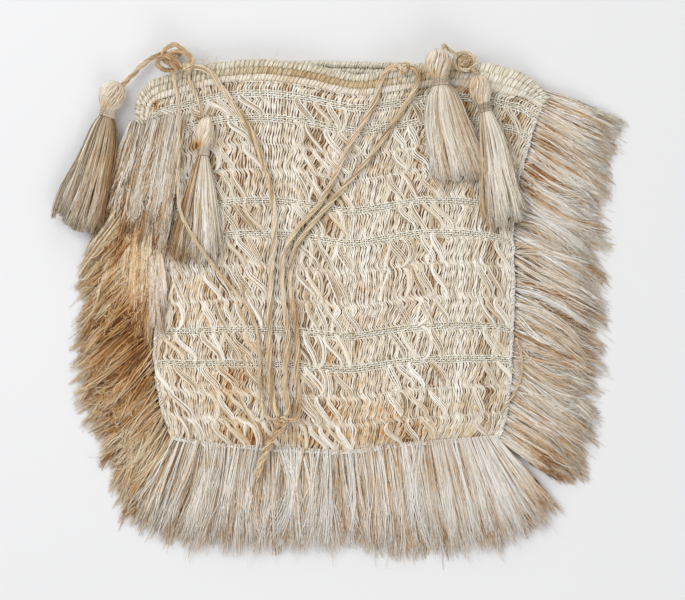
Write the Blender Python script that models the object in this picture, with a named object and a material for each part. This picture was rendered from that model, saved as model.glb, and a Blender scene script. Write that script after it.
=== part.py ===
# A flat pouch of twined flax fibre, lying on its back wall with its mouth towards +Y.
# X runs across the bag, Y up to the mouth, Z away from the surface that it lies on.
# The origin is the middle of the back wall's underside. Every length is in metres.

import math

import bmesh
import bpy
import numpy as np

# The body of the bag: two walls, joined at the sides and the bottom
BODY_WIDTH = 0.222
BODY_HEIGHT = 0.231
WALL = 0.0022
POCKET_DEPTH = 0.0083
DROOP_WIDTH = 0.018
WEFT_RIDGE = 0.0009
WEFT_BAND_WIDTH = 0.0054
WEFT_ROW_WIDTH = 0.0028
GAP = 0.0003

# The whipped rims round the mouth, and the hem that joins the walls
FRONT_RIM_WIDTH = 0.012
BACK_RIM_WIDTH = 0.0084
RIM_HEIGHT = 0.0046
SEAM_WIDTH = 0.005
SEAM_HEIGHT = 0.0025

# The fringe that hangs out of the hem
FRINGE_BASE_TOP = 0.0052
FRINGE_THICKNESS = 0.0062
FRINGE_TIP_TOP = 0.0026
BACK_LAYER_TOP = 0.0021
LOCKS_PER_SEGMENT = 6

# Knots and cords. A reach is how far past the rim's outer edge a knot's middle lies
RIM_KNOT_RADIUS = 0.0035
RIM_KNOT_REACH = 0.0006
RIM_KNOT_LIFT = 0.0025
BACK_KNOT_RADIUS = 0.0036
BACK_KNOT_REACH = 0.0136
BACK_KNOT_STEM = 0.0016
TIE_KNOT_RADIUS = 0.0044
ROSETTE_RADIUS = 0.0057
ROSETTE_HEIGHT = 0.005
ROSETTE_REACH = 0.0012
THIN_CORD = 0.0024
THICK_CORD = 0.0036
TASSEL_CORD = 0.0022
TAIL_CORD = 0.003

# The thread wound three times round each tassel's neck
WHIPPING_THREAD = 0.0009
WHIPPING_SPACE = 0.00046
WHIPPING_TURNS = 3
NECK_LENGTH = 0.0052
SKIRT_THICKNESS = 0.006

# Places across the body and up it, as shares of its width and height from the middle
FRONT_RIM_SHARES = [
    (-0.524, 0.358), (-0.519, 0.405), (-0.492, 0.439), (-0.432, 0.457), (-0.365, 0.475), (-0.297, 0.488),
    (-0.203, 0.494), (-0.122, 0.488), (-0.054, 0.478), (0.014, 0.462), (0.068, 0.455), (0.135, 0.462),
    (0.216, 0.473), (0.284, 0.483), (0.392, 0.478), (0.473, 0.462), (0.527, 0.442), (0.57, 0.41),
]
BACK_RIM_SHARES = [
    (-0.524, 0.358), (-0.519, 0.405), (-0.492, 0.439), (-0.432, 0.46), (-0.365, 0.481), (-0.297, 0.494),
    (-0.203, 0.501), (-0.095, 0.504), (0.068, 0.501), (0.23, 0.496), (0.338, 0.488), (0.446, 0.47),
    (0.527, 0.442), (0.57, 0.41),
]
LEFT_EDGE_SHARES = [
    (-0.492, 0.208), (-0.473, 0.052), (-0.481, -0.104), (-0.492, -0.234), (-0.476, -0.364), (-0.441, -0.468),
]
BOTTOM_EDGE_SHARES = [
    (-0.441, -0.468), (-0.338, -0.486), (-0.23, -0.494), (-0.095, -0.501), (0.041, -0.506), (0.176, -0.488),
    (0.311, -0.478), (0.446, -0.468),
]
RIGHT_EDGE_SHARES = [
    (0.446, -0.468), (0.468, -0.39), (0.478, -0.286), (0.486, -0.104), (0.486, 0.13), (0.511, 0.247),
]

# Each row of wefts, as a share of the way up the front wall
WEFT_BAND_SHARES = (0.964, 0.899, 0.675, 0.587, 0.331, 0.24)
WEFT_ROW_SHARES = (0.828, 0.76, 0.503, 0.413, 0.161, 0.082)
LOW_ROW_SHARES = (0, 0.018, 0.042)

# The section of a rim: two rolls side by side, as shares of its width and height
RIM_SECTION_SHARES = [
    (-0.5, 0.3), (-0.44, 0.84), (-0.27, 1), (-0.07, 0.8), (0.07, 0.8), (0.27, 1), (0.44, 0.84), (0.5, 0.3),
    (0.36, 0), (-0.36, 0),
]
SEAM_SECTION_SHARES = [(-0.5, 0.3), (-0.34, 1), (0.34, 1), (0.5, 0.3), (0.34, 0), (-0.34, 0)]
RIM_END_SHARE = 0.62
RIM_NARROWING_SHARE = 0.11
RIM_STEPS = 32
RIM_CROWDING_SHARE = 0.6
SIDE_STEPS = 22
BOTTOM_STEPS = 20

# Where each fringe segment ends, and where its tips lie: (share of its side of the hem, across, up)
LEFT_FRINGE_SHARES = [
    (0.015, -0.624, 0.125), (0.3, -0.689, -0.112), (0.6, -0.711, -0.332), (0.86, -0.635, -0.519),
    (0.99, -0.554, -0.691),
]
BOTTOM_FRINGE_SHARES = [
    (0.01, -0.554, -0.691), (0.17, -0.332, -0.756), (0.4, -0.086, -0.745), (0.63, 0.143, -0.753),
    (0.84, 0.359, -0.743), (0.99, 0.589, -0.644),
]
RIGHT_FRINGE_SHARES = [
    (0.02, 0.689, -0.525), (0.25, 0.727, -0.325), (0.48, 0.746, -0.109), (0.71, 0.749, 0.073),
    (0.9, 0.762, 0.26), (0.985, 0.792, 0.361),
]
BACK_LAYER_SHARES = [
    (0.1, -0.33, -0.728), (0.3, -0.19, -0.733), (0.5, 0.03, -0.738), (0.68, 0.16, -0.795),
    (0.8, 0.3, -0.795), (0.9, 0.4, -0.72),
]
INNER_LAYER_SHARES = [(-0.501, 0.342), (-0.414, 0.342), (-0.57, 0.057), (-0.478, 0.026)]
LAYER_ROW_SHARES = (0, 0.35, 0.75, 1)
LOCK_LENGTH_SHARE = 0.91
FRINGE_SPACE_SHARE = 0.15
LOCK_HEIGHT_SHARE = 0.72
INNER_LAYER_RISE_SHARE = 1.15
INNER_LAYER_THICKNESS = 0.0036

# How far each row of the inner layer lies above the front wall's edge, and above its raised wefts
INNER_LAYER_EDGE_LIFT = (0.0014, 0.0014, 0.0009, 0.0003)
INNER_LAYER_WALL_LIFT = (0.0006, 0.0006, -0.0011, -0.004)

# Where each knot sits across the body, and where the tassels lie
LEFT_KNOT_SHARE = -0.397
RIGHT_KNOT_SHARE = 0.184
ROSETTE_SHARE = 0.349
BACK_KNOT_SHARE = -0.435
TIE_KNOT_SHARES = (-0.143, -0.423)
KNOT_STRANDS = 3
POINTS_PER_STRAND = 6
KNOT_RINGS = 8
KNOT_TWIST = 1.6
KNOT_GROOVE_SHARE = 0.08
BACK_KNOT_SIDES = 16
ROSETTE_LOBES = 7
POINTS_PER_LOBE = 4

# A bulb of folded fibre that narrows to the neck: (share of its length, share of its width)
HEAD_PROFILE_SHARES = [
    (-1, 0.16), (-0.92, 0.42), (-0.68, 0.76), (-0.3, 0.97), (0.1, 1), (0.5, 0.86), (0.82, 0.6), (1, 0.46),
]
ROSETTE_PROFILE_SHARES = [
    (0.68, 0), (0.9, 0.14), (1, 0.45), (0.94, 0.78), (0.7, 1), (0.42, 0.84), (0.22, 0.5),
]
HEAD_SIDES = 16
HEAD_GROOVE_SHARE = 0.06
SKIRT_SIDES = 20
SKIRT_GROOVE_SHARE = 0.14
SKIRT_TIP_SHARE = 0.07
SKIRT_ROW_SHARES = (0, 0.1, 0.3, 0.6, 0.93)
SKIRT_NECK_SHARE = 1.1
SKIRT_FULL_SHARE = 0.33
SKIRT_DROP_SHARE = 0.62
SKIRT_FLARE = 0.8
WHIPPING_POINTS_PER_TURN = 24

# Each tassel: its head's place and its half width and half length, and its skirt's end
OUTER_HEAD_SHARES = (-0.603, 0.429)
OUTER_HEAD = (0.0082, 0.0084)
OUTER_SKIRT_SHARES = (-0.676, 0.08)
OUTER_SKIRT_WIDTH = 0.036
OUTER_SKIRT_SPACE = 0.0006
INNER_HEAD_SHARES = (-0.349, 0.33)
INNER_HEAD = (0.0054, 0.0088)
INNER_SKIRT_SHARES = (-0.392, 0.003)
INNER_SKIRT_WIDTH = 0.029
RIM_HEAD_SHARES = (0.276, 0.506)
RIM_HEAD = (0.008, 0.0082)
RIM_SKIRT_SHARES = (0.314, 0.205)
RIM_SKIRT_WIDTH = 0.03
LAST_HEAD_SHARES = (0.389, 0.439)
LAST_HEAD = (0.0064, 0.0084)
LAST_SKIRT_SHARES = (0.476, 0.088)
LAST_SKIRT_WIDTH = 0.022

# The cords' routes: points along the middle of each, between the knots that they leave
HANDLE_THIN_LEFT = [
    (-0.0942, 0.1146, 0.0178), (-0.0963, 0.1116, 0.0196), (-0.0954, 0.1056, 0.0214),
    (-0.093, 0.09, 0.0222), (-0.093, 0.06, 0.0222), (-0.0924, 0.0312, 0.0222), (-0.084, 0.0132, 0.0222),
    (-0.0732, -0.0024, 0.0214), (-0.0606, -0.018, 0.0182), (-0.0498, -0.0324, 0.0158),
    (-0.0456, -0.051, 0.0156), (-0.045, -0.072, 0.0156), (-0.0438, -0.0852, 0.0162),
    (-0.0402, -0.0936, 0.018),
]
HANDLE_THICK_LEFT = [
    (-0.0804, 0.1146, 0.0178), (-0.0752, 0.1122, 0.0178), (-0.0696, 0.1056, 0.0172),
    (-0.0618, 0.0942, 0.0164), (-0.0528, 0.0816, 0.0162), (-0.0456, 0.0648, 0.0162),
    (-0.0396, 0.0474, 0.0162), (-0.0366, 0.033, 0.0162), (-0.036, 0.0168, 0.0162),
    (-0.0378, -0.0012, 0.0162), (-0.039, -0.024, 0.0162), (-0.0393, -0.051, 0.0162),
    (-0.0386, -0.072, 0.0164), (-0.036, -0.088, 0.0177),
]
HANDLE_THICK_RIGHT = [
    (0.033, 0.1144, 0.0178), (0.0292, 0.1108, 0.0178), (0.0264, 0.104, 0.0172), (0.0234, 0.0936, 0.0164),
    (0.0144, 0.078, 0.0162), (0.0066, 0.0648, 0.0162), (-0.0012, 0.048, 0.0162), (-0.0102, 0.0324, 0.0162),
    (-0.021, 0.0204, 0.0162), (-0.0288, 0.0084, 0.0162), (-0.0318, -0.006, 0.0162),
    (-0.0306, -0.024, 0.0162), (-0.0282, -0.045, 0.0162), (-0.0294, -0.063, 0.0162),
    (-0.0296, -0.078, 0.0167), (-0.0276, -0.088, 0.0177),
]
HANDLE_THIN_RIGHT = [
    (0.0474, 0.1142, 0.0178), (0.0496, 0.1104, 0.0178), (0.0482, 0.103, 0.0169), (0.0414, 0.0918, 0.0159),
    (0.033, 0.0786, 0.0156), (0.0246, 0.0666, 0.0156), (0.0138, 0.0528, 0.0156), (-0.0006, 0.0366, 0.0156),
    (-0.0144, 0.0204, 0.0156), (-0.0231, 0.0078, 0.0156), (-0.0267, -0.0072, 0.0156),
    (-0.0255, -0.024, 0.0156), (-0.0228, -0.045, 0.0156), (-0.023, -0.066, 0.0156),
    (-0.0218, -0.0828, 0.0162), (-0.0228, -0.0938, 0.0178),
]
HANDLE_TAIL = [
    (-0.036, -0.1044, 0.0172), (-0.0408, -0.1128, 0.0146), (-0.0444, -0.1218, 0.0122),
    (-0.0468, -0.1302, 0.0113),
]
TASSEL_CORD_OUTER = [
    (-0.1032, 0.1248, 0.0044), (-0.1098, 0.1218, 0.0052), (-0.117, 0.1164, 0.0066),
    (-0.123, 0.1098, 0.008),
]
TASSEL_CORD_INNER = [
    (-0.0872, 0.1084, 0.0176), (-0.0852, 0.103, 0.0174), (-0.0828, 0.0972, 0.018),
    (-0.0798, 0.0908, 0.0192),
]
TASSEL_CORD_RIM = [(0.069, 0.1244, 0.0196), (0.0648, 0.1275, 0.022)]
TASSEL_CORD_LAST = [(0.0834, 0.1116, 0.0196)]

# How finely curves, cords and round ends are drawn
CURVE_STEPS = 24
CORD_STEP_DIAMETERS = 2.5
LEAST_CORD_POINTS = 5
MOST_CORD_POINTS = 80
POLE_TILT = 0.12
SHARP_DEGREES = 50

# What takes a length from metres to the millimetres that are printed
MM_PER_METRE = 1000

# The colour and roughness of each kind of piece
FINISHES = {
    "front_wall_weave": ((0.71, 0.58, 0.39), 0.82),
    "back_wall_weave": ((0.66, 0.53, 0.35), 0.84),
    "rim_whipping": ((0.7, 0.64, 0.54), 0.78),
    "hem_twining": ((0.75, 0.67, 0.53), 0.8),
    "golden_fringe": ((0.6, 0.4, 0.19), 0.68),
    "cream_fringe": ((0.74, 0.61, 0.42), 0.7),
    "handle_cord": ((0.64, 0.46, 0.25), 0.74),
    "knot_cord": ((0.56, 0.38, 0.19), 0.76),
    "tassel_head_fibre": ((0.68, 0.53, 0.33), 0.72),
    "tassel_thread": ((0.78, 0.72, 0.6), 0.78),
    "tassel_skirt_fibre": ((0.73, 0.59, 0.39), 0.68),
}


def material(name, colour, roughness):
    """A plain fibre colour."""
    made = bpy.data.materials.new(name)
    made.use_nodes = True
    shader = made.node_tree.nodes["Principled BSDF"]
    shader.inputs["Base Color"].default_value = (*colour, 1)
    shader.inputs["Roughness"].default_value = roughness
    shader.inputs["Metallic"].default_value = 0
    return made


def clear_scene():
    for old in list(bpy.data.objects):
        bpy.data.objects.remove(old, do_unlink=True)


def place(share_x, share_y, z=0):
    """A point of the bag from its shares of the body's width and height."""
    return np.array([share_x * BODY_WIDTH, share_y * BODY_HEIGHT, z])


def places(shares):
    return [place(x, y) for x, y in shares]


def smooth_curve(points, count, crowding=0):
    """count points along a curve through the given ones, crowded towards its ends if asked."""
    given = np.array(points, float)
    ends = np.vstack([2 * given[0] - given[1], given, 2 * given[-1] - given[-2]])
    fine = []
    for a, b, c, d in zip(ends, ends[1:], ends[2:], ends[3:]):
        for t in np.arange(0, 1, 1 / CURVE_STEPS):
            bend = 2 * b + (c - a) * t + (2 * a - 5 * b + 4 * c - d) * t**2 + (3 * b - a - 3 * c + d) * t**3
            fine.append(bend / 2)
    fine = np.array(fine + [given[-1]])
    along = np.concatenate([[0], np.cumsum(np.linalg.norm(np.diff(fine, axis=0), axis=1))])
    even = np.linspace(0, 1, count)
    wanted = along[-1] * (even - crowding * np.sin(2 * math.pi * even) / (2 * math.pi))
    return np.column_stack([np.interp(wanted, along, column) for column in fine.T])


def length_of(points):
    return np.linalg.norm(np.diff(np.array(points), axis=0), axis=1).sum()


def left_of(path):
    """The unit normal to the left of a flat path, at each of its points."""
    ahead = np.gradient(path, axis=0)
    ahead /= np.linalg.norm(ahead[:, :2], axis=1)[:, None]
    return np.column_stack([-ahead[:, 1], ahead[:, 0], np.zeros(len(path))])


def shares_along(path):
    """How far along a path each of its points lies, from 0 to 1."""
    steps = np.concatenate([[0], np.cumsum(np.linalg.norm(np.diff(path, axis=0), axis=1))])
    return steps / steps[-1]


def at_share(path, share):
    """The point that lies this share of the way along a path."""
    return np.array([np.interp(share, shares_along(path), column) for column in path.T])


def ease(share):
    """A smooth step from 0 to 1."""
    share = np.clip(share, 0, 1)
    return share * share * (3 - 2 * share)


def mesh_object(name, points, faces, finish, origin=None):
    """A closed mesh as an object whose origin is on its joint's axis."""
    origin = np.zeros(3) if origin is None else np.array(origin)
    mesh = bpy.data.meshes.new(name)
    mesh.from_pydata([tuple(point - origin) for point in points], [], faces)
    sheet = bmesh.new()
    sheet.from_mesh(mesh)
    bmesh.ops.recalc_face_normals(sheet, faces=sheet.faces)
    sheet.to_mesh(mesh)
    sheet.free()
    mesh.shade_smooth()
    mesh.set_sharp_from_angle(angle=math.radians(SHARP_DEGREES))
    mesh.materials.append(finish)
    made = bpy.data.objects.new(name, mesh)
    made.location = origin
    bpy.context.scene.collection.objects.link(made)
    return made


def ring_solid(name, rings, finish, origin=None):
    """A closed solid through rings of points, all turning the same way."""
    rings = np.array(rings)
    count, sides = rings.shape[:2]
    faces = []
    for row in range(0, (count - 1) * sides, sides):
        for side in range(sides):
            after = (side + 1) % sides
            faces.append((row + side, row + after, row + sides + after, row + sides + side))
    faces.append(tuple(reversed(range(sides))))
    faces.append(tuple(range((count - 1) * sides, count * sides)))
    return mesh_object(name, rings.reshape(-1, 3), faces, finish, origin)


def grid_solid(name, top, bottom, finish, origin=None):
    """A closed sheet between two grids. Columns run along +X and rows along +Y, seen from above."""
    rows, columns = top.shape[:2]
    points = np.concatenate([top.reshape(-1, 3), bottom.reshape(-1, 3)])
    under = rows * columns
    faces = []
    for row in range(rows - 1):
        for column in range(columns - 1):
            a = row * columns + column
            faces.append((a, a + 1, a + columns + 1, a + columns))
            faces.append((under + a, under + a + columns, under + a + columns + 1, under + a + 1))
    edge = [column for column in range(columns)]
    edge += [row * columns + columns - 1 for row in range(1, rows)]
    edge += [(rows - 1) * columns + column for column in reversed(range(columns - 1))]
    edge += [row * columns for row in reversed(range(1, rows - 1))]
    for a, b in zip(edge, edge[1:] + edge[:1]):
        faces.append((a, under + a, under + b, b))
    return mesh_object(name, points, faces, finish, origin)


def cord(name, points, diameter, finish, origin=None, sides=2):
    """A round cord along a smooth route, with a point every few diameters."""
    origin = np.zeros(3) if origin is None else np.array(origin)
    count = round(length_of(points) / (CORD_STEP_DIAMETERS * diameter))
    count = min(MOST_CORD_POINTS, max(LEAST_CORD_POINTS, count))
    return tube(name, smooth_curve(points, count), diameter, finish, origin, sides)


def tube(name, path, diameter, finish, origin, sides):
    curve = bpy.data.curves.new(name, "CURVE")
    curve.dimensions = "3D"
    curve.bevel_depth = diameter / 2
    curve.bevel_resolution = sides
    curve.use_fill_caps = True
    spline = curve.splines.new("POLY")
    spline.points.add(len(path) - 1)
    for point, place_of in zip(spline.points, path):
        point.co = (*(place_of - origin), 1)
    curve.materials.append(finish)
    made = bpy.data.objects.new(name, curve)
    made.location = origin
    bpy.context.scene.collection.objects.link(made)
    return made


def front_rim_path():
    return smooth_curve(places(FRONT_RIM_SHARES), RIM_STEPS, RIM_CROWDING_SHARE)


def back_rim_path():
    return smooth_curve(places(BACK_RIM_SHARES), RIM_STEPS, RIM_CROWDING_SHARE)


def rim_taper(path):
    """How wide a rim is along its length: it narrows where it turns down at its ends."""
    along = shares_along(path)
    from_end = np.minimum(along, 1 - along)
    return RIM_END_SHARE + (1 - RIM_END_SHARE) * ease(from_end / RIM_NARROWING_SHARE)


def rim_underside(path, width):
    """The line just inside a rim, which the wall below it reaches."""
    return path - left_of(path) * (rim_taper(path) * width / 2 + GAP)[:, None]


def hem_path():
    """Down the left side, along the bottom and up the right side, where the front wall ends."""
    mouth = rim_underside(front_rim_path(), FRONT_RIM_WIDTH)
    left = smooth_curve([mouth[0]] + places(LEFT_EDGE_SHARES), SIDE_STEPS)
    bottom = smooth_curve(places(BOTTOM_EDGE_SHARES), BOTTOM_STEPS)
    right = smooth_curve(places(RIGHT_EDGE_SHARES) + [mouth[-1]], SIDE_STEPS)
    return left, bottom, right


def hem_top():
    """The height at which the front wall's underside meets the hem."""
    return WALL + GAP + SEAM_HEIGHT + GAP


def wall_top():
    """The height that a piece lying on the front wall's wefts clears."""
    return WALL + POCKET_DEPTH + WALL + WEFT_RIDGE + GAP


def rim_top():
    """The height that a piece lying on the front rim clears."""
    return WALL + POCKET_DEPTH + RIM_HEIGHT + GAP


def wall_lift(points):
    """How far the front wall stands above the hem: it drops to it along the sides and the bottom."""
    left, bottom, right = hem_path()
    west = points[..., 0] - np.interp(points[..., 1], left[::-1, 1], left[::-1, 0])
    east = np.interp(points[..., 1], right[:, 1], right[:, 0]) - points[..., 0]
    south = points[..., 1] - np.interp(points[..., 0], bottom[:, 0], bottom[:, 1])
    inside = np.minimum(np.minimum(west, east), south)
    return hem_top() + (WALL + POCKET_DEPTH - hem_top()) * ease(inside / DROOP_WIDTH)


def weft_rows():
    """The rows of the front wall's grid, and how far each stands out: three to each row of wefts."""
    rows = {share: 0 for share in LOW_ROW_SHARES}
    for shares, width in ((WEFT_BAND_SHARES, WEFT_BAND_WIDTH), (WEFT_ROW_SHARES, WEFT_ROW_WIDTH)):
        half = width / BODY_HEIGHT / 2
        for share in shares:
            rows[share - half] = 0
            rows[share] = WEFT_RIDGE
            rows[share + half] = 0
    rows[1] = 0
    ordered = sorted(rows)
    return np.array(ordered), np.array([rows[share] for share in ordered])


def front_panel(finish):
    """The front wall, which hangs between the rim and the hem, with its rows of wefts standing out."""
    left, bottom, right = hem_path()
    mouth = rim_underside(front_rim_path(), FRONT_RIM_WIDTH)
    up, ridge = weft_rows()
    across = shares_along(mouth)
    west = np.array([at_share(left[::-1], share) for share in up])[:, None]
    east = np.array([at_share(right, share) for share in up])[:, None]
    south = np.array([at_share(bottom, share) for share in across])[None]
    north = mouth[None]
    u = across[None, :, None]
    v = up[:, None, None]
    corners = (1 - v) * ((1 - u) * left[-1] + u * right[0]) + v * ((1 - u) * left[0] + u * right[-1])
    grid = (1 - u) * west + u * east + (1 - v) * south + v * north - corners
    low = grid.copy()
    low[..., 2] = wall_lift(grid)
    high = low.copy()
    high[..., 2] += WALL + ridge[:, None] * (across > 0)[None] * (across < 1)[None]
    return grid_solid("front_panel", high, low, finish, mouth_hinge())


def mouth_hinge():
    """The line along the bottom of the hem that the front wall opens about."""
    bottom = hem_path()[1]
    return np.array([0, bottom[:, 1].min() - GAP, hem_top()])


def back_panel(finish):
    """The back wall, a flat sheet out to the hem."""
    left, bottom, right = hem_path()
    top = rim_underside(back_rim_path(), BACK_RIM_WIDTH)
    outline = np.concatenate([left, bottom[1:-1], right, top[::-1]])
    low = [point * (1, 1, 0) for point in outline]
    high = [point + (0, 0, WALL) for point in low]
    return ring_solid("back_panel", [low, high], finish)


def bar(name, path, width, height, low, shares, finish, taper=None, origin=None):
    """A bar of the given section along a flat path."""
    taper = np.ones(len(path)) if taper is None else taper
    normal = left_of(path)
    rings = []
    for point, side, wide, base in zip(path, normal, taper, low):
        sideways = np.array([side * across * width * wide for across, up in shares])
        heights = np.array([(0, 0, base + up * height) for across, up in shares])
        rings.append(point + sideways + heights)
    return ring_solid(name, rings, finish, origin)


def front_rim(finish):
    path = front_rim_path()
    ends = np.minimum(np.abs(path[:, 0] - path[0, 0]), np.abs(path[-1, 0] - path[:, 0]))
    low = hem_top() + (WALL + POCKET_DEPTH - hem_top()) * ease(ends / DROOP_WIDTH)
    size = (FRONT_RIM_WIDTH, RIM_HEIGHT)
    return bar("front_rim", path, *size, low, RIM_SECTION_SHARES, finish, rim_taper(path), mouth_hinge())


def back_rim(finish):
    path = back_rim_path()
    low = np.zeros(len(path))
    size = (BACK_RIM_WIDTH, RIM_HEIGHT)
    return bar("back_rim", path, *size, low, RIM_SECTION_SHARES, finish, rim_taper(path))


def seams(finish):
    """The three runs of the hem, between the walls' edges."""
    left, bottom, right = hem_path()
    runs = {"side_seam_left": left[1:-1], "bottom_seam": bottom[1:-1], "side_seam_right": right[1:-1]}
    for name, path in runs.items():
        inside = path + left_of(path) * (SEAM_WIDTH / 2)
        low = np.full(len(path), WALL + GAP)
        bar(name, inside, SEAM_WIDTH, SEAM_HEIGHT, low, SEAM_SECTION_SHARES, finish)


def layer(name, base, tips, low, high, finish, origin=None):
    """A layer of fringe as locks side by side: each lock is thick and long in its middle.

    base and tips are lines of points, low and high the heights of its two sides in each row."""
    columns = len(base)
    lock = np.arange(columns) % 2
    length = np.where(lock == 1, 1, LOCK_LENGTH_SHARE)
    height = np.where(lock == 1, 1, LOCK_HEIGHT_SHARE)
    top = np.zeros((len(LAYER_ROW_SHARES), columns, 3))
    bottom = top.copy()
    for row, share in enumerate(LAYER_ROW_SHARES):
        reach = share * length
        line = base + (tips - base) * reach[:, None]
        full = 1 if row == 0 else height
        bottom[row] = line * (1, 1, 0) + np.outer(low[row], (0, 0, 1))
        top[row] = bottom[row] + np.outer((high[row] - low[row]) * full, (0, 0, 1))
    return grid_solid(name, top[::-1], bottom[::-1], finish, origin)


def beyond(edge, shares):
    """Points just outside one side of the hem, at these shares of its length."""
    outside = edge - left_of(edge) * GAP
    return np.array([at_share(outside, share) for share in shares])


def fringe_run(run, edge, shares, low, tops, finish):
    """The segments of one side's fringe, with a small space between each and the next."""
    columns = 2 * LOCKS_PER_SEGMENT
    tip_line = smooth_curve([place(x, y) for _, x, y in shares], columns * (len(shares) - 1) + 1)
    space = GAP / length_of(edge)
    for number, (start, end) in enumerate(zip(shares, shares[1:])):
        base = beyond(edge, np.linspace(start[0] + space, end[0] - space, columns + 1))
        tips = tip_line[columns * number: columns * (number + 1) + 1].copy()
        tips[0] += (tips[1] - tips[0]) * FRINGE_SPACE_SHARE
        tips[-1] += (tips[-2] - tips[-1]) * FRINGE_SPACE_SHARE
        layer(f"{run}_{number + 1}", base, tips, np.full((len(tops), 1), low), tops[:, None], finish)


def fringe(finishes):
    """The fringe on all three sides of the hem, and the back wall's layer below the bottom one."""
    left, bottom, right = hem_path()
    tops = np.array([FRINGE_BASE_TOP, FRINGE_THICKNESS, FRINGE_THICKNESS, FRINGE_TIP_TOP])
    fringe_run("fringe_left", left, LEFT_FRINGE_SHARES, GAP, tops, finishes["golden_fringe"])
    fringe_run("fringe_right", right, RIGHT_FRINGE_SHARES, GAP, tops, finishes["cream_fringe"])
    above = BACK_LAYER_TOP + GAP
    tops[-1] += above
    fringe_run("fringe_bottom", bottom, BOTTOM_FRINGE_SHARES, above, tops, finishes["cream_fringe"])
    columns = 4 * LOCKS_PER_SEGMENT
    base = beyond(bottom, np.linspace(BACK_LAYER_SHARES[0][0], BACK_LAYER_SHARES[-1][0], columns + 1))
    tips = smooth_curve([place(x, y) for _, x, y in BACK_LAYER_SHARES], columns + 1)
    low = np.full((len(LAYER_ROW_SHARES), 1), GAP)
    high = np.full_like(low, BACK_LAYER_TOP)
    layer("fringe_back_layer", base, tips, low, high, finishes["cream_fringe"])


def inner_layer(finish):
    """The fringe sewn to the front wall's upper left edge, which falls over that wall."""
    near_left, near_right, far_left, far_right = places(INNER_LAYER_SHARES)
    count = 2 * LOCKS_PER_SEGMENT + 1
    base = np.linspace(near_left, near_right, count)
    tips = np.linspace(far_left, far_right, count)
    rise = ease(np.linspace(0, 1, count) * INNER_LAYER_RISE_SHARE)
    edge = hem_top() + WALL + np.array(INNER_LAYER_EDGE_LIFT)
    middle = wall_top() - GAP + np.array(INNER_LAYER_WALL_LIFT)
    low = edge[:, None] + np.outer(middle - edge, rise)
    layer("fringe_inner_layer", base, tips, low, low + INNER_LAYER_THICKNESS, finish, mouth_hinge())


def turned_ball(name, centre, radius, finish, origin=None):
    """A round knot of a few strands, with grooves between them that wind from pole to pole."""
    rings = []
    sides = KNOT_STRANDS * POINTS_PER_STRAND
    around = np.arange(sides) / sides * 2 * math.pi
    for tilt in np.linspace(POLE_TILT, math.pi - POLE_TILT, KNOT_RINGS):
        groove = (1 - np.cos(KNOT_STRANDS * (around + KNOT_TWIST * math.cos(tilt)))) / 2
        size = radius * (1 - KNOT_GROOVE_SHARE * groove * math.sin(tilt))
        flat = size * math.sin(tilt)
        ring = np.column_stack([flat * np.cos(around), flat * np.sin(around), size * math.cos(tilt)])
        rings.append(centre + ring)
    return ring_solid(name, rings, finish, origin)


def past_rim(path, width, share, reach, z):
    """A point past a rim's outer edge, at a share of the body's width."""
    x = share * BODY_WIDTH
    return np.array([x, np.interp(x, path[:, 0], path[:, 1]) + width / 2 + reach, z])


def rim_knot(share):
    """Where a handle's knot sits on the front rim."""
    z = rim_top() - GAP + RIM_KNOT_LIFT
    return past_rim(front_rim_path(), FRONT_RIM_WIDTH, share, RIM_KNOT_REACH, z)


def left_knot():
    return rim_knot(LEFT_KNOT_SHARE)


def right_knot():
    return rim_knot(RIGHT_KNOT_SHARE)


def rosette_centre():
    z = rim_top() + ROSETTE_HEIGHT / 2
    return past_rim(front_rim_path(), FRONT_RIM_WIDTH, ROSETTE_SHARE, ROSETTE_REACH, z)


def back_knot_centre():
    z = BACK_KNOT_RADIUS + GAP
    return past_rim(back_rim_path(), BACK_RIM_WIDTH, BACK_KNOT_SHARE, BACK_KNOT_REACH, z)


def tie_knot_centre():
    return place(*TIE_KNOT_SHARES, wall_top() + TIE_KNOT_RADIUS)


def knots(finish):
    turned_ball("rim_knot_left", left_knot(), RIM_KNOT_RADIUS, finish, mouth_hinge())
    turned_ball("rim_knot_right", right_knot(), RIM_KNOT_RADIUS, finish, mouth_hinge())
    turned_ball("handle_tie_knot", tie_knot_centre(), TIE_KNOT_RADIUS, finish, left_knot())


def rosette(finish):
    """A flower of cord loops round a dimple, sewn to the rim."""
    centre = rosette_centre()
    sides = POINTS_PER_LOBE * ROSETTE_LOBES
    around = np.arange(sides) / sides * 2 * math.pi
    lobe = 1 - KNOT_GROOVE_SHARE * (1 - np.cos(ROSETTE_LOBES * around)) / 2
    rings = []
    for wide, high in ROSETTE_PROFILE_SHARES:
        flat = ROSETTE_RADIUS * wide * lobe
        z = np.full(sides, (high - 1 / 2) * ROSETTE_HEIGHT)
        rings.append(centre + np.column_stack([flat * np.cos(around), flat * np.sin(around), z]))
    ring_solid("rosette_knot", rings, finish, mouth_hinge())


def back_knot(finish):
    """The knot behind the rim: a ball on the short stem that ties it to the back rim."""
    centre = back_knot_centre()
    around = np.arange(BACK_KNOT_SIDES) / BACK_KNOT_SIDES * 2 * math.pi
    steps = [(GAP - BACK_KNOT_REACH, BACK_KNOT_STEM)]
    stem_tilt = math.asin(BACK_KNOT_STEM / BACK_KNOT_RADIUS)
    for tilt in np.linspace(math.pi - stem_tilt, POLE_TILT, KNOT_RINGS):
        steps.append((BACK_KNOT_RADIUS * math.cos(tilt), BACK_KNOT_RADIUS * math.sin(tilt)))
    rings = []
    for along, wide in steps:
        level = np.full(BACK_KNOT_SIDES, along)
        rings.append(centre + np.column_stack([wide * np.cos(around), level, wide * np.sin(around)]))
    ring_solid("back_knot", rings, finish)


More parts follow.
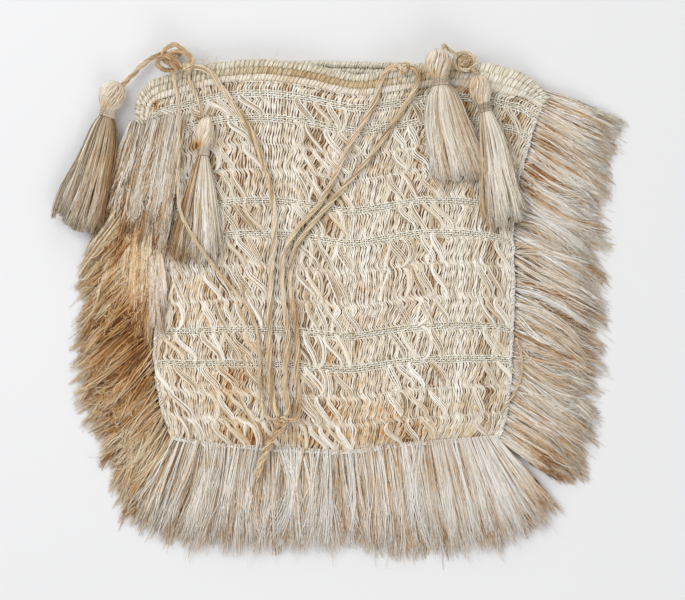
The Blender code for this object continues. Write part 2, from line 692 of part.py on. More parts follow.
def beside(centre, radius, toward):
    """The point a small space off a ball, in the direction of another point."""
    way = np.array(toward) - centre
    return centre + way / np.linalg.norm(way) * (radius + GAP)


def handles(finish):
    """Two nested cords, each from one rim knot to the tie knot and back to the other, and the tail."""
    tie = tie_knot_centre()
    legs = (
        ("handle_thin_left", left_knot(), HANDLE_THIN_LEFT, THIN_CORD),
        ("handle_thick_left", left_knot(), HANDLE_THICK_LEFT, THICK_CORD),
        ("handle_thick_right", right_knot(), HANDLE_THICK_RIGHT, THICK_CORD),
        ("handle_thin_right", right_knot(), HANDLE_THIN_RIGHT, THIN_CORD),
    )
    for name, knot, route, diameter in legs:
        start = beside(knot, RIM_KNOT_RADIUS, route[0])
        end = beside(tie, TIE_KNOT_RADIUS, route[-1])
        cord(name, [start, *route, end], diameter, finish, left_knot())
    start = beside(tie, TIE_KNOT_RADIUS, HANDLE_TAIL[0])
    cord("handle_tail", [start, *HANDLE_TAIL], TAIL_CORD, finish, left_knot())


def on_head(centre, axis, wide, long, toward):
    """The point a small space off a tassel's head, in the direction of another point."""
    way = np.array(toward) - centre
    way /= np.linalg.norm(way)
    forward = way @ axis
    reach = 1 / math.sqrt((forward / long) ** 2 + (1 - forward**2) / wide**2)
    return centre + way * (reach + GAP)


def round_frame(axis):
    """Two directions square to a flat axis: across it, and straight up."""
    return np.array([-axis[1], axis[0], 0]), np.array([0, 0, 1])


def tassel_head(name, centre, axis, wide, long, finish, pivot):
    """A bulb of folded fibre, with shallow grooves, that ends in a neck for the whipping."""
    across, up = round_frame(axis)
    around = np.arange(HEAD_SIDES) / HEAD_SIDES * 2 * math.pi
    groove = 1 - HEAD_GROOVE_SHARE * (np.arange(HEAD_SIDES) % 2)
    steps = [(along * long, width * wide) for along, width in HEAD_PROFILE_SHARES]
    steps.append((long + NECK_LENGTH, steps[-1][1]))
    rings = []
    for along, radius in steps:
        ring = np.outer(np.cos(around) * radius * groove, across)
        ring += np.outer(np.sin(around) * radius * groove, up)
        rings.append(centre + axis * along + ring)
    ring_solid(f"{name}_head", rings, finish, pivot)
    return steps[-1][1]


def least_gap(path, diameter, turn):
    """The least space between one turn of a winding and the next, measured between its points."""
    half = turn // 2
    near = [np.linalg.norm(path[i + half:] - path[i], axis=1).min() for i in range(len(path) - half)]
    return min(near) - diameter


def whipping(name, neck, axis, radius, finish, pivot):
    """One thread wound round the neck in open turns."""
    across, up = round_frame(axis)
    turns = np.arange(WHIPPING_TURNS * WHIPPING_POINTS_PER_TURN + 1) / WHIPPING_POINTS_PER_TURN
    pitch = WHIPPING_THREAD + WHIPPING_SPACE
    out = radius + GAP + WHIPPING_THREAD / 2
    start = (NECK_LENGTH - pitch * WHIPPING_TURNS) / 2
    angle = turns * 2 * math.pi
    path = neck + np.outer(start + turns * pitch, axis) + np.outer(np.cos(angle) * out, across)
    path = path + np.outer(np.sin(angle) * out, up)
    tube(f"{name}_whipping", path, WHIPPING_THREAD, finish, pivot, 1)
    gap = least_gap(path, WHIPPING_THREAD, WHIPPING_POINTS_PER_TURN)
    print(f"{name}_whipping: {gap * MM_PER_METRE:.2f} mm between its turns")


def skirt(name, start, end, narrow, wide, finish, pivot):
    """The loose fibres below the whipping: a flattened, fluted fan with an uneven end."""
    axis = (end - start) * (1, 1, 0)
    length = np.linalg.norm(axis)
    axis /= length
    across, up = round_frame(axis)
    around = np.arange(SKIRT_SIDES) / SKIRT_SIDES * 2 * math.pi
    flute = 1 - SKIRT_GROOVE_SHARE * (np.arange(SKIRT_SIDES) % 2)
    rings = []
    for share in (*SKIRT_ROW_SHARES, 1):
        half = narrow + (wide - narrow) * share**SKIRT_FLARE
        thick = narrow + (SKIRT_THICKNESS / 2 - narrow) * ease(share / SKIRT_FULL_SHARE)
        centre = start + axis * length * share
        centre[2] = start[2] + (end[2] - start[2]) * ease(share / SKIRT_DROP_SHARE)
        ring = np.outer(np.cos(around) * half * flute, across)
        ring += np.outer(np.sin(around) * thick * flute, up)
        if share == 1:
            ring += np.outer((np.arange(SKIRT_SIDES) % 2) * -SKIRT_TIP_SHARE * length, axis)
        rings.append(centre + ring)
    ring_solid(f"{name}_skirt", rings, finish, pivot)


def tassel(name, pivot, knot_radius, centre, wide, long, end, end_width, route, finishes):
    """A cord, a head with its neck, the whipping and the skirt, all hung from one knot."""
    axis = (end - centre) * (1, 1, 0)
    axis /= np.linalg.norm(axis)
    neck_radius = tassel_head(name, centre, axis, wide, long, finishes["tassel_head_fibre"], pivot)
    neck = centre + axis * long
    whipping(name, neck, axis, neck_radius, finishes["tassel_thread"], pivot)
    start = neck + axis * (NECK_LENGTH + GAP)
    narrow = neck_radius * SKIRT_NECK_SHARE
    skirt(name, start, end, narrow, end_width / 2, finishes["tassel_skirt_fibre"], pivot)
    first = beside(pivot, knot_radius, route[0])
    last = on_head(centre, axis, wide, long, route[-1])
    cord(f"{name}_cord", [first, *route, last], TASSEL_CORD, finishes["handle_cord"], pivot)


def tassels(finishes):
    """The two tassels at each end of the mouth: each swings about the knot that it hangs from."""
    lying = wall_top() + SKIRT_THICKNESS / 2 + GAP
    over_fringe = FRINGE_THICKNESS + SKIRT_THICKNESS / 2 + OUTER_SKIRT_SPACE
    hung = (
        ("tassel_outer", back_knot_centre(), BACK_KNOT_RADIUS, OUTER_HEAD_SHARES, OUTER_HEAD, GAP,
         OUTER_SKIRT_SHARES, over_fringe, OUTER_SKIRT_WIDTH, TASSEL_CORD_OUTER),
        ("tassel_inner", left_knot(), RIM_KNOT_RADIUS, INNER_HEAD_SHARES, INNER_HEAD, wall_top(),
         INNER_SKIRT_SHARES, lying, INNER_SKIRT_WIDTH, TASSEL_CORD_INNER),
        ("tassel_rim", rosette_centre(), ROSETTE_RADIUS, RIM_HEAD_SHARES, RIM_HEAD, rim_top(),
         RIM_SKIRT_SHARES, lying, RIM_SKIRT_WIDTH, TASSEL_CORD_RIM),
        ("tassel_last", rosette_centre(), ROSETTE_RADIUS, LAST_HEAD_SHARES, LAST_HEAD, rim_top(),
         LAST_SKIRT_SHARES, lying, LAST_SKIRT_WIDTH, TASSEL_CORD_LAST),
    )
    for name, pivot, knot_radius, head_at, (wide, long), base, end_at, end_z, end_width, route in hung:
        centre = place(*head_at, base + wide)
        end = place(*end_at, end_z)
        tassel(name, pivot, knot_radius, centre, wide, long, end, end_width, route, finishes)


def main():
    clear_scene()
    finishes = {name: material(name, *look) for name, look in FINISHES.items()}
    front_panel(finishes["front_wall_weave"])
    back_panel(finishes["back_wall_weave"])
    front_rim(finishes["rim_whipping"])
    back_rim(finishes["rim_whipping"])
    seams(finishes["hem_twining"])
    fringe(finishes)
    inner_layer(finishes["golden_fringe"])
    knots(finishes["knot_cord"])
    rosette(finishes["rim_whipping"])
    back_knot(finishes["knot_cord"])
    handles(finishes["handle_cord"])
    tassels(finishes)


main()
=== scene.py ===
import math

import bpy
import numpy as np
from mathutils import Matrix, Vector


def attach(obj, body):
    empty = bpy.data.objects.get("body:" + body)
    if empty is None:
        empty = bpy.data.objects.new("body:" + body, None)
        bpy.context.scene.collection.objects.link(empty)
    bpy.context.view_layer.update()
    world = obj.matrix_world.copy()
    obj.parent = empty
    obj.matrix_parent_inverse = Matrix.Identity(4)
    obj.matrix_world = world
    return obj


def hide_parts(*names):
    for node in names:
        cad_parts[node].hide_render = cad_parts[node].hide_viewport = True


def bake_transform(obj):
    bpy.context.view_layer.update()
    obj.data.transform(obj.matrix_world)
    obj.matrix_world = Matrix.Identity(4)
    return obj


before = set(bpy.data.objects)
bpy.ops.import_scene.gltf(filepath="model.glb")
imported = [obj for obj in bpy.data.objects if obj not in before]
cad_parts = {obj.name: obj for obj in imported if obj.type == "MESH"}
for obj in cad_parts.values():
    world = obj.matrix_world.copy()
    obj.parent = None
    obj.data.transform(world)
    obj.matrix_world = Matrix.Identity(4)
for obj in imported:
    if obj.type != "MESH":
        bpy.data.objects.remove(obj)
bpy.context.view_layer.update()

up = np.array([0.0, 0.0, 1.0])
level = (1, 1, 0)  # times this, a direction loses its rise


# Camera

view = {"lens": 120, "sensor": 36, "middle": (0.0045, -0.024, 0.010), "seenWidth": 0.411}


def linked(name, data):
    # a new object in the scene
    made = bpy.data.objects.new(name, data)
    bpy.context.scene.collection.objects.link(made)
    return made


def makeCamera():
    data = bpy.data.cameras.new("camera")
    data.lens = view["lens"]
    data.sensor_width = view["sensor"]
    made = linked("camera", data)
    x, y, z = view["middle"]
    made.location = (x, y, z + view["seenWidth"] * view["lens"] / view["sensor"])
    bpy.context.scene.camera = made


makeCamera()
print("camera: straight above the bag")


# What a piece moves with, and what it stands for

# the front wall bends between the hem on the back body and the wall on the front body
bends = {"leftBend": ((-0.105, 0, 0), (-0.087, 0, 0)),
         "rightBend": ((0.1021, -0.0136, 0), (0.0842, -0.0112, 0))}


def assign(piece, moves, slot, *nodes):
    # moves is a body, to which the piece is attached, or one of the two bends, for which the piece only keeps
    # its place
    if moves in bends:
        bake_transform(piece)
    else:
        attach(piece, moves)
    if nodes:
        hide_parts(*nodes)


# Shader maths

class Wire:
    # a socket that takes part in sums
    def __init__(self, shader, socket):
        self.shader = shader
        self.socket = socket

    def sum(self, operation, first, second):
        return self.shader.add("ShaderNodeMath", {"operation": operation}, {0: first, 1: second})

    def __add__(self, other):
        return self.sum("ADD", self, other)

    def __radd__(self, other):
        return self.sum("ADD", other, self)

    def __sub__(self, other):
        return self.sum("SUBTRACT", self, other)

    def __rsub__(self, other):
        return self.sum("SUBTRACT", other, self)

    def __mul__(self, other):
        return self.sum("MULTIPLY", self, other)

    def __rmul__(self, other):
        return self.sum("MULTIPLY", other, self)


def toLinear(shown):
    # a colour as a screen shows it, from 0 to 255 a channel
    parts = [channel / 255 for channel in shown]
    return (*[part / 12.92 if part <= 0.04045 else ((part + 0.055) / 1.055) ** 2.4 for part in parts], 1)


class Shader:
    # a new material, and the one way to add a node to it
    def __init__(self, name):
        self.material = bpy.data.materials.new(name)
        self.material.use_nodes = True
        self.tree = self.material.node_tree
        self.surface = self.tree.nodes["Principled BSDF"]

    def add(self, kind, settings=None, sockets=None, output=0):
        node = self.tree.nodes.new(kind)
        for key, value in (settings or {}).items():
            if key == "stops":
                while len(node.color_ramp.elements) < len(value):
                    node.color_ramp.elements.new(0.5)
                for element, (at, shown) in zip(node.color_ramp.elements, value):
                    element.position = at
                    element.color = toLinear(shown)
            else:
                setattr(node, key, value)
        for key, value in (sockets or {}).items():
            self.put(node.inputs[key], value)
        return Wire(self, node.outputs[output])

    def put(self, socket, value):
        if isinstance(value, Wire):
            self.tree.links.new(value.socket, socket)
        else:
            socket.default_value = value

    def finish(self, **sockets):
        for key, value in sockets.items():
            self.put(self.surface.inputs[key.replace("_", " ")], value)
        return self.material

    def stored(self, name, output="Fac"):
        return self.add("ShaderNodeAttribute", {"attribute_name": name}, output=output)

    def ramp(self, value, stops):
        return self.add("ShaderNodeValToRGB", {"stops": stops}, {0: value})

    def noise(self, where, scale, detail, roughness):
        sockets = {"Vector": where, "Scale": scale, "Detail": detail, "Roughness": roughness}
        return self.add("ShaderNodeTexNoise", None, sockets)

    def wave(self, where, way, scale, distortion, detailScale):
        sockets = {"Vector": where, "Scale": scale, "Distortion": distortion, "Detail": 2.0,
                   "Detail Scale": detailScale}
        return self.add("ShaderNodeTexWave", {"bands_direction": way}, sockets)

    def bump(self, height, strength, depth):
        sockets = {"Strength": strength, "Distance": depth, "Height": height}
        return self.add("ShaderNodeBump", None, sockets)

    def times(self, first, second):
        settings = {"data_type": "RGBA", "blend_type": "MULTIPLY"}
        return self.add("ShaderNodeMix", settings, {0: 1.0, 6: first, 7: second}, 2)


# Finishes

# each fibre's colours from unstained to brown, and the stain at which each is reached
fibreColours = {
    "cream": (0.28, [(247, 244, 239), (237, 226, 211), (221, 189, 147), (193, 141, 85), (131, 84, 40)]),
    "golden": (0.3, [(242, 228, 202), (230, 200, 156), (210, 162, 100), (178, 118, 56), (122, 74, 34)]),
    "grey": (0.3, [(243, 242, 236), (228, 223, 210), (213, 192, 157), (187, 148, 101), (120, 85, 52)]),
    "tan": (0.3, [(241, 233, 217), (230, 214, 187), (212, 181, 142), (180, 141, 98), (126, 90, 58)]),
}
# from a strand's shaded root to its light side
shadeStops = [(0.0, (112, 88, 62)), (0.35, (195, 179, 154)), (0.7, (242, 237, 225)), (1.0, (255, 255, 255))]
fibre = {"fleckScale": 9, "fleckShare": 0.7, "streakStain": 0.12, "roughness": 0.62, "roughSpread": 0.2,
         "bump": 0.25, "bumpDepth": 0.0003, "sheen": 0.12, "sheenRoughness": 0.4, "specular": 0.32}
# the material's name, its colours, the patches' strength and scale, and the streaks' strength
fibreFinishes = {
    "warps": ("warpFibre", "cream", 1.05, 55, 0.6),
    "bundles": ("bundleFibre", "cream", 0.7, 70, 0.6),
    "wefts": ("weftThread", "grey", 0.3, 60, 0.5),
    "paleRim": ("paleRimThread", "grey", 0.25, 70, 0.6),
    "tanRim": ("tanRimThread", "grey", 0.45, 70, 0.6),
    "hem": ("hemThread", "cream", 0.25, 70, 0.6),
    "goldenFringe": ("goldenFringeFibre", "golden", 0.6, 60, 0.5),
    "creamFringe": ("creamFringeFibre", "cream", 0.45, 50, 0.5),
    "cord": ("handleCordFibre", "tan", 0.5, 90, 0.7),
    "knot": ("knotCordFibre", "tan", 0.5, 120, 0.7),
    "head": ("tasselHeadFibre", "cream", 0.45, 90, 0.6),
    "thread": ("tasselThread", "cream", 0.3, 90, 0.5),
    "skirt": ("tasselSkirtFibre", "cream", 0.5, 60, 0.5),
}
# between the strands, a dark finish that is painted shade in the gaps, and on the cloth's underside, where
# crossing rows show in the open mouth
clothColours = {"cloth": ("paintedShadeBetweenStrands", (112, 80, 52), (184, 142, 98), 0.0),
                "clothInside": ("clothInThePocket", (150, 120, 88), (222, 202, 174), 190.0)}


def fibreFinish(name, colours, patch, patchScale, streak):
    # tone is how light a strand is, with painted shade and painted light in it, gold how stained, with some
    # painted shade in it too, and grain runs round and along it
    shader = Shader(name)
    tone, gold, grain = shader.stored("tone"), shader.stored("gold"), shader.stored("grain", "Vector")
    where = shader.add("ShaderNodeTexCoord", output="Object")
    patches = shader.noise(where, patchScale, 4, 0.6) - 0.5
    flecks = shader.noise(where, patchScale * fibre["fleckScale"], 2, 0.5) - 0.5
    grainy = shader.noise(grain, 1.0, 3, 0.6)
    streaks = grainy - 0.5
    stain = gold + patches * patch + flecks * (patch * fibre["fleckShare"]) + streaks * fibre["streakStain"]
    second, shown = fibreColours[colours]
    colour = shader.ramp(stain, list(zip((0.0, second, 0.6, 0.82, 1.0), shown)))
    shade = shader.ramp(tone + streaks * streak, shadeStops)
    return shader.finish(
        Base_Color=shader.times(colour, shade), Roughness=fibre["roughness"] + streaks * fibre["roughSpread"],
        Normal=shader.bump(grainy, fibre["bump"], fibre["bumpDepth"]), Sheen_Weight=fibre["sheen"],
        Sheen_Roughness=fibre["sheenRoughness"], Specular_IOR_Level=fibre["specular"])


def clothFinish(name, dark, light, rows):
    # a sheet with its own fine threads, and rows across them where rows gives their scale
    shader = Shader(name)
    where = shader.add("ShaderNodeTexCoord", output="Object")
    threads = shader.wave(where, "X", 160.0, 3.0, 1.2)
    if rows:
        threads = threads * 0.4 + shader.wave(where, "Y", rows, 4.0, 2.0) * 0.6
    fuzz = shader.noise(where, 900, 3, 0.55)
    colour = shader.ramp(threads * 0.5 + fuzz * 0.5, [(0.2, dark), (0.8, light)])
    return shader.finish(Base_Color=colour, Roughness=0.85 + (fuzz - 0.5) * 0.2,
                         Normal=shader.bump(threads, 0.5, 0.0004))


finishes = {key: fibreFinish(*values) for key, values in fibreFinishes.items()}
finishes.update({key: clothFinish(*values) for key, values in clothColours.items()})


# Curves

spanSteps = 24  # points for each span between two given ones


def ease(share):
    share = np.clip(share, 0, 1)
    return share * share * (3 - 2 * share)


def spanCurve(points):
    # a curve through the given points
    given = np.array(points, float)
    ends = np.vstack([2 * given[0] - given[1], given, 2 * given[-1] - given[-2]])
    fine = []
    for a, b, c, d in zip(ends, ends[1:], ends[2:], ends[3:]):
        for t in np.arange(0, 1, 1 / spanSteps):
            fine.append((2 * b + (c - a) * t + (2 * a - 5 * b + 4 * c - d) * t**2
                         + (3 * b - a - 3 * c + d) * t**3) / 2)
    return np.array(fine + [given[-1]])


def stepsOf(path):
    return np.linalg.norm(np.diff(path, axis=-2), axis=-1)


def lengthOf(path):
    return float(stepsOf(path).sum())


def runAlong(path):
    # how far along its path each point is
    return np.concatenate([[0], np.cumsum(stepsOf(path))])


def sharesAlong(path):
    run = runAlong(path)
    return run / run[-1]


def sampled(at, known, rows):
    # a table's rows, each known at a place, looked up at other places
    return np.stack([np.interp(at, known, column) for column in np.asarray(rows).T], -1)


def smoothCurve(points, count):
    # count points, evenly spaced, along a curve through the given ones
    fine = spanCurve(points)
    run = runAlong(fine)
    return sampled(np.linspace(0, run[-1], count), run, fine)


def pointAt(path, share):
    # the points that lie these shares of the way along a path
    return sampled(share, sharesAlong(path), path)


def leftOf(path):
    ahead = np.gradient(path, axis=0)
    ahead /= np.linalg.norm(ahead[:, :2], axis=1)[:, None]
    return np.column_stack([-ahead[:, 1], ahead[:, 0], np.zeros(len(path))])


def unit(vectors):
    return vectors / np.maximum(np.linalg.norm(vectors, axis=-1, keepdims=True), 1e-12)


def waysOff(lines, top=up):
    # the two directions square to each point of a line
    ahead = unit(np.gradient(lines, axis=-2))
    across = unit(np.cross(np.broadcast_to(top, lines.shape), ahead))
    return across, np.cross(ahead, across)


def wander(shape, knots, rng, amount):
    # smooth random offsets along the last axis
    rough = rng.normal(0, amount, (*shape[:-1], knots + 1))
    at = np.linspace(0, knots, shape[-1])
    low = np.minimum(at.astype(int), knots - 1)
    mix = ease(at - low)
    return rough[..., low] * (1 - mix) + rough[..., low + 1] * mix


def wanderIn(axes, shape, knots, rng, amount):
    return np.stack([wander(shape, knots, rng, amount) for _ in range(axes)], -1)


# Stains, and one painted light

# orange and brown: pixels across and down the photograph, how far they reach, how strong. A negative strength
# makes a patch paler; the one at (282, 268), between the handle cords, is painted light against their shadow.
stainsAndPaintedLight = [
    (112, 335, 32, 70, 0.42), (137, 345, 14, 52, 0.36), (120, 236, 14, 20, 0.3), (114, 200, 10, 30, 0.3),
    (120, 400, 34, 30, 0.28), (118, 315, 8, 20, 0.2), (102, 156, 9, 12, 0.5), (196, 146, 7, 7, 0.6),
    (154, 103, 6, 6, 0.6), (200, 117, 4, 5, 0.5), (422, 74, 6, 10, 0.7), (418, 152, 4, 18, 0.6),
    (467, 104, 7, 28, 0.5), (452, 72, 8, 7, 0.55), (222, 288, 30, 22, 0.2), (180, 345, 26, 28, 0.2),
    (286, 345, 14, 40, 0.18), (250, 190, 10, 70, 0.2), (300, 300, 18, 60, 0.14), (420, 420, 70, 16, 0.2),
    (180, 385, 26, 22, 0.2), (250, 430, 34, 12, 0.24), (555, 460, 32, 34, 0.3), (575, 330, 30, 44, 0.16),
    (548, 150, 20, 40, 0.2), (296, 407, 6, 9, 0.5), (546, 486, 15, 22, 0.5), (262, 262, 8, 30, 0.22),
    (330, 80, 70, 8, 0.22), (530, 180, 12, 16, 0.3), (470, 210, 8, 30, 0.3), (182, 256, 16, 14, 0.35),
    (436, 180, 12, 12, 0.25), (320, 438, 120, 9, 0.18), (235, 385, 28, 54, 0.3), (368, 408, 62, 36, 0.2),
    # (282, 268) is painted light, where the handle cords cast their shadow
    (282, 268, 18, 52, -0.28), (140, 480, 24, 24, 0.1), (270, 100, 60, 12, -0.2),
]
pixel = 0.0006
photoMiddle = (335, 260)


def fromPhoto(x, y, z=0.0):
    # the place of a pixel of the photograph
    return (x - photoMiddle[0]) * pixel, (photoMiddle[1] - y) * pixel, z


def goldAt(points, amount=1.0):
    x = points[..., 0] / pixel + photoMiddle[0]
    y = photoMiddle[1] - points[..., 1] / pixel
    total = np.zeros(x.shape)
    for acrossAt, downAt, wide, high, strength in stainsAndPaintedLight:
        total += strength * np.exp(-((x - acrossAt) / wide) ** 2 - ((y - downAt) / high) ** 2)
    return total * amount


# Strands

threadGrain = (2.0, 500.0)  # how much grain runs round a strand, and along a metre of it
fibreGrain = (1.5, 400.0)
grainSpread = 500  # how far apart the strands' grains start


def store(mesh, name, kind, key, values):
    mesh.attributes.new(name, kind, "POINT").data.foreach_set(key, values.astype(np.float32).ravel())


def strands(name, finish, lines, radius, sides=4, flat=1.0, top=up, tone=0.6, gold=0.0, grain=(3.0, 900.0)):
    # one mesh of closed strands, each a ring of points swept along its line
    lines = np.asarray(lines, float)
    count, steps = lines.shape[:2]
    across, over = waysOff(lines, top)
    radius = np.broadcast_to(radius, (count, steps))[..., None, None]
    turn = (np.arange(sides) + 0.5) / sides * 2 * math.pi
    rings = lines[:, :, None] + radius * (np.cos(turn)[:, None] * across[:, :, None]
                                          + np.sin(turn)[:, None] * flat * over[:, :, None])
    index = np.arange(count * steps * sides).reshape(count, steps, sides)
    after = np.roll(index, -1, axis=2)
    quads = np.stack([index[:, :-1], after[:, :-1], after[:, 1:], index[:, 1:]], -1).reshape(-1, 4)
    caps = np.concatenate([index[:, 0, ::-1], index[:, -1]])
    corners = np.concatenate([quads.ravel(), caps.ravel()])
    sizes = np.concatenate([np.full(len(quads), 4), np.full(len(caps), sides)])
    mesh = bpy.data.meshes.new(name)
    mesh.vertices.add(count * steps * sides)
    mesh.vertices.foreach_set("co", rings.astype(np.float32).ravel())
    mesh.loops.add(len(corners))
    mesh.polygons.add(len(sizes))
    mesh.polygons.foreach_set("loop_start", np.concatenate([[0], np.cumsum(sizes)[:-1]]).astype(np.int32))
    mesh.polygons.foreach_set("vertices", corners.astype(np.int32))
    mesh.update(calc_edges=True)
    mesh.shade_smooth()
    run = np.concatenate([np.zeros((count, 1)), np.cumsum(stepsOf(lines), axis=1)], 1)
    starts = np.random.default_rng(count).random(count) * grainSpread
    grains = np.zeros((count, steps, sides, 3))
    grains[..., 0] = np.sin(turn) * grain[0] + starts[:, None, None]
    grains[..., 1] = np.cos(turn) * grain[0]
    grains[..., 2] = run[:, :, None] * grain[1]
    for key, value in {"tone": tone, "gold": gold}.items():
        value = np.broadcast_to(np.asarray(value, float), (count, steps))
        store(mesh, key, "FLOAT", "value", np.repeat(value[:, :, None], sides, axis=2))
    store(mesh, "grain", "FLOAT_VECTOR", "vector", grains)
    mesh.materials.append(finishes[finish])
    return linked(name, mesh)


def joined(name, pieces):
    # several meshes as one piece
    with bpy.context.temp_override(active_object=pieces[0], selected_editable_objects=pieces):
        bpy.ops.object.join()
    pieces[0].name = name
    pieces[0].data.name = name
    return pieces[0]


def plies(path, count, offset, twist, phase=0.0, top=up):
    # lines that wind round a path, and which way each stands off it
    across, over = waysOff(path, top)
    run = sharesAlong(path) * lengthOf(path)
    turns = 2 * math.pi * (run / twist + np.arange(count)[:, None] / count) + phase
    ways = np.cos(turns)[..., None] * across + np.sin(turns)[..., None] * over
    return path + ways * offset, ways


# The bag's measures, the same as the solids' own

bag = {"width": 0.222, "height": 0.231, "wall": 0.0022, "pocket": 0.0083, "droop": 0.018, "gap": 0.0003,
       "frontRimWidth": 0.012, "backRimWidth": 0.0084, "rimHeight": 0.0046, "rimEnd": 0.62, "rimNarrow": 0.11,
       "seamWidth": 0.005, "seamHeight": 0.0025, "weftRidge": 0.0009}
frontRimShares = [
    (-0.524, 0.358), (-0.519, 0.405), (-0.492, 0.439), (-0.432, 0.457), (-0.365, 0.475), (-0.297, 0.488),
    (-0.203, 0.494), (-0.122, 0.488), (-0.054, 0.478), (0.014, 0.462), (0.068, 0.455), (0.135, 0.462),
    (0.216, 0.473), (0.284, 0.483), (0.392, 0.478), (0.473, 0.462), (0.527, 0.442), (0.57, 0.41),
]
backRimShares = [
    (-0.524, 0.358), (-0.519, 0.405), (-0.492, 0.439), (-0.432, 0.46), (-0.365, 0.481), (-0.297, 0.494),
    (-0.203, 0.501), (-0.095, 0.504), (0.068, 0.501), (0.23, 0.496), (0.338, 0.488), (0.446, 0.47),
    (0.527, 0.442), (0.57, 0.41),
]
leftEdgeShares = [
    (-0.492, 0.208), (-0.473, 0.052), (-0.481, -0.104), (-0.492, -0.234), (-0.476, -0.364), (-0.441, -0.468),
]
bottomEdgeShares = [
    (-0.441, -0.468), (-0.338, -0.486), (-0.23, -0.494), (-0.095, -0.501), (0.041, -0.506), (0.176, -0.488),
    (0.311, -0.478), (0.446, -0.468),
]
rightEdgeShares = [
    (0.446, -0.468), (0.468, -0.39), (0.478, -0.286), (0.486, -0.104), (0.486, 0.13), (0.511, 0.247),
]
hemTop = bag["wall"] + bag["gap"] + bag["seamHeight"] + bag["gap"]
wallTop = 2 * bag["wall"] + bag["pocket"] + bag["weftRidge"] + bag["gap"]
rimTop = bag["wall"] + bag["pocket"] + bag["rimHeight"] + bag["gap"]


def place(shareX, shareY, z=0.0):
    return np.array([shareX * bag["width"], shareY * bag["height"], z])


def places(shares):
    return np.array([place(x, y) for x, y in shares])


def rimTaper(path):
    along = sharesAlong(path)
    fromEnd = np.minimum(along, 1 - along)
    return bag["rimEnd"] + (1 - bag["rimEnd"]) * ease(fromEnd / bag["rimNarrow"])


frontRimLine = smoothCurve(places(frontRimShares), 400)
backRimLine = smoothCurve(places(backRimShares), 400)
rimEdge = rimTaper(frontRimLine) * bag["frontRimWidth"] / 2 + bag["gap"]
mouthLine = frontRimLine - leftOf(frontRimLine) * rimEdge[:, None]
leftLine = smoothCurve([mouthLine[0], *places(leftEdgeShares)], 120)
bottomLine = smoothCurve(places(bottomEdgeShares), 120)
rightLine = smoothCurve([*places(rightEdgeShares), mouthLine[-1]], 120)
wallWidth = lengthOf(bottomLine)
wallHeight = lengthOf(rightLine)


def drooped(inside):
    # the wall's height over the pocket, and how it comes down to the hem
    return hemTop + (bag["wall"] + bag["pocket"] - hemTop) * ease(inside / bag["droop"])


def wallLift(points):
    west = points[..., 0] - np.interp(points[..., 1], leftLine[::-1, 1], leftLine[::-1, 0])
    east = np.interp(points[..., 1], rightLine[:, 1], rightLine[:, 0]) - points[..., 0]
    south = points[..., 1] - np.interp(points[..., 0], bottomLine[:, 0], bottomLine[:, 1])
    return drooped(np.minimum(np.minimum(west, east), south))


def frontWallPoint(u, v, lift=0.0):
    # a point of the front wall from its share of the way across and up, and its height on that wall
    u, v = np.broadcast_arrays(np.clip(u, 0, 1), np.clip(v, 0, 1))
    west, east = pointAt(leftLine[::-1], v), pointAt(rightLine, v)
    south, north = pointAt(bottomLine, u), pointAt(mouthLine, u)
    across, upward = u[..., None], v[..., None]
    corners = ((1 - upward) * ((1 - across) * leftLine[-1] + across * rightLine[0])
               + upward * ((1 - across) * leftLine[0] + across * rightLine[-1]))
    points = (1 - across) * west + across * east + (1 - upward) * south + upward * north - corners
    points[..., 2] = wallLift(points) + lift
    return points


def backWallPoint(u, v, lift=0.0):
    points = frontWallPoint(u, v)
    points[..., 2] = lift
    return points


# Handle cords, which come first with the camera

knotPlaces = {"left": np.array([-0.08813, 0.11444, 0.0176]), "right": np.array([0.04085, 0.11484, 0.0176]),
              "tie": np.array([-0.03175, -0.09771, 0.0183]), "rosette": np.array([0.07748, 0.11841, 0.0179]),
              "back": np.array([-0.09657, 0.12384, 0.0039])}
knotSizes = {"left": 0.0035, "right": 0.0035, "tie": 0.0044, "rosette": 0.0057, "back": 0.0036}
handle = {"twist": 9.5, "flat": 0.7, "tailWidth": 0.0048, "tailTwist": 0.02, "tailStain": 0.3}
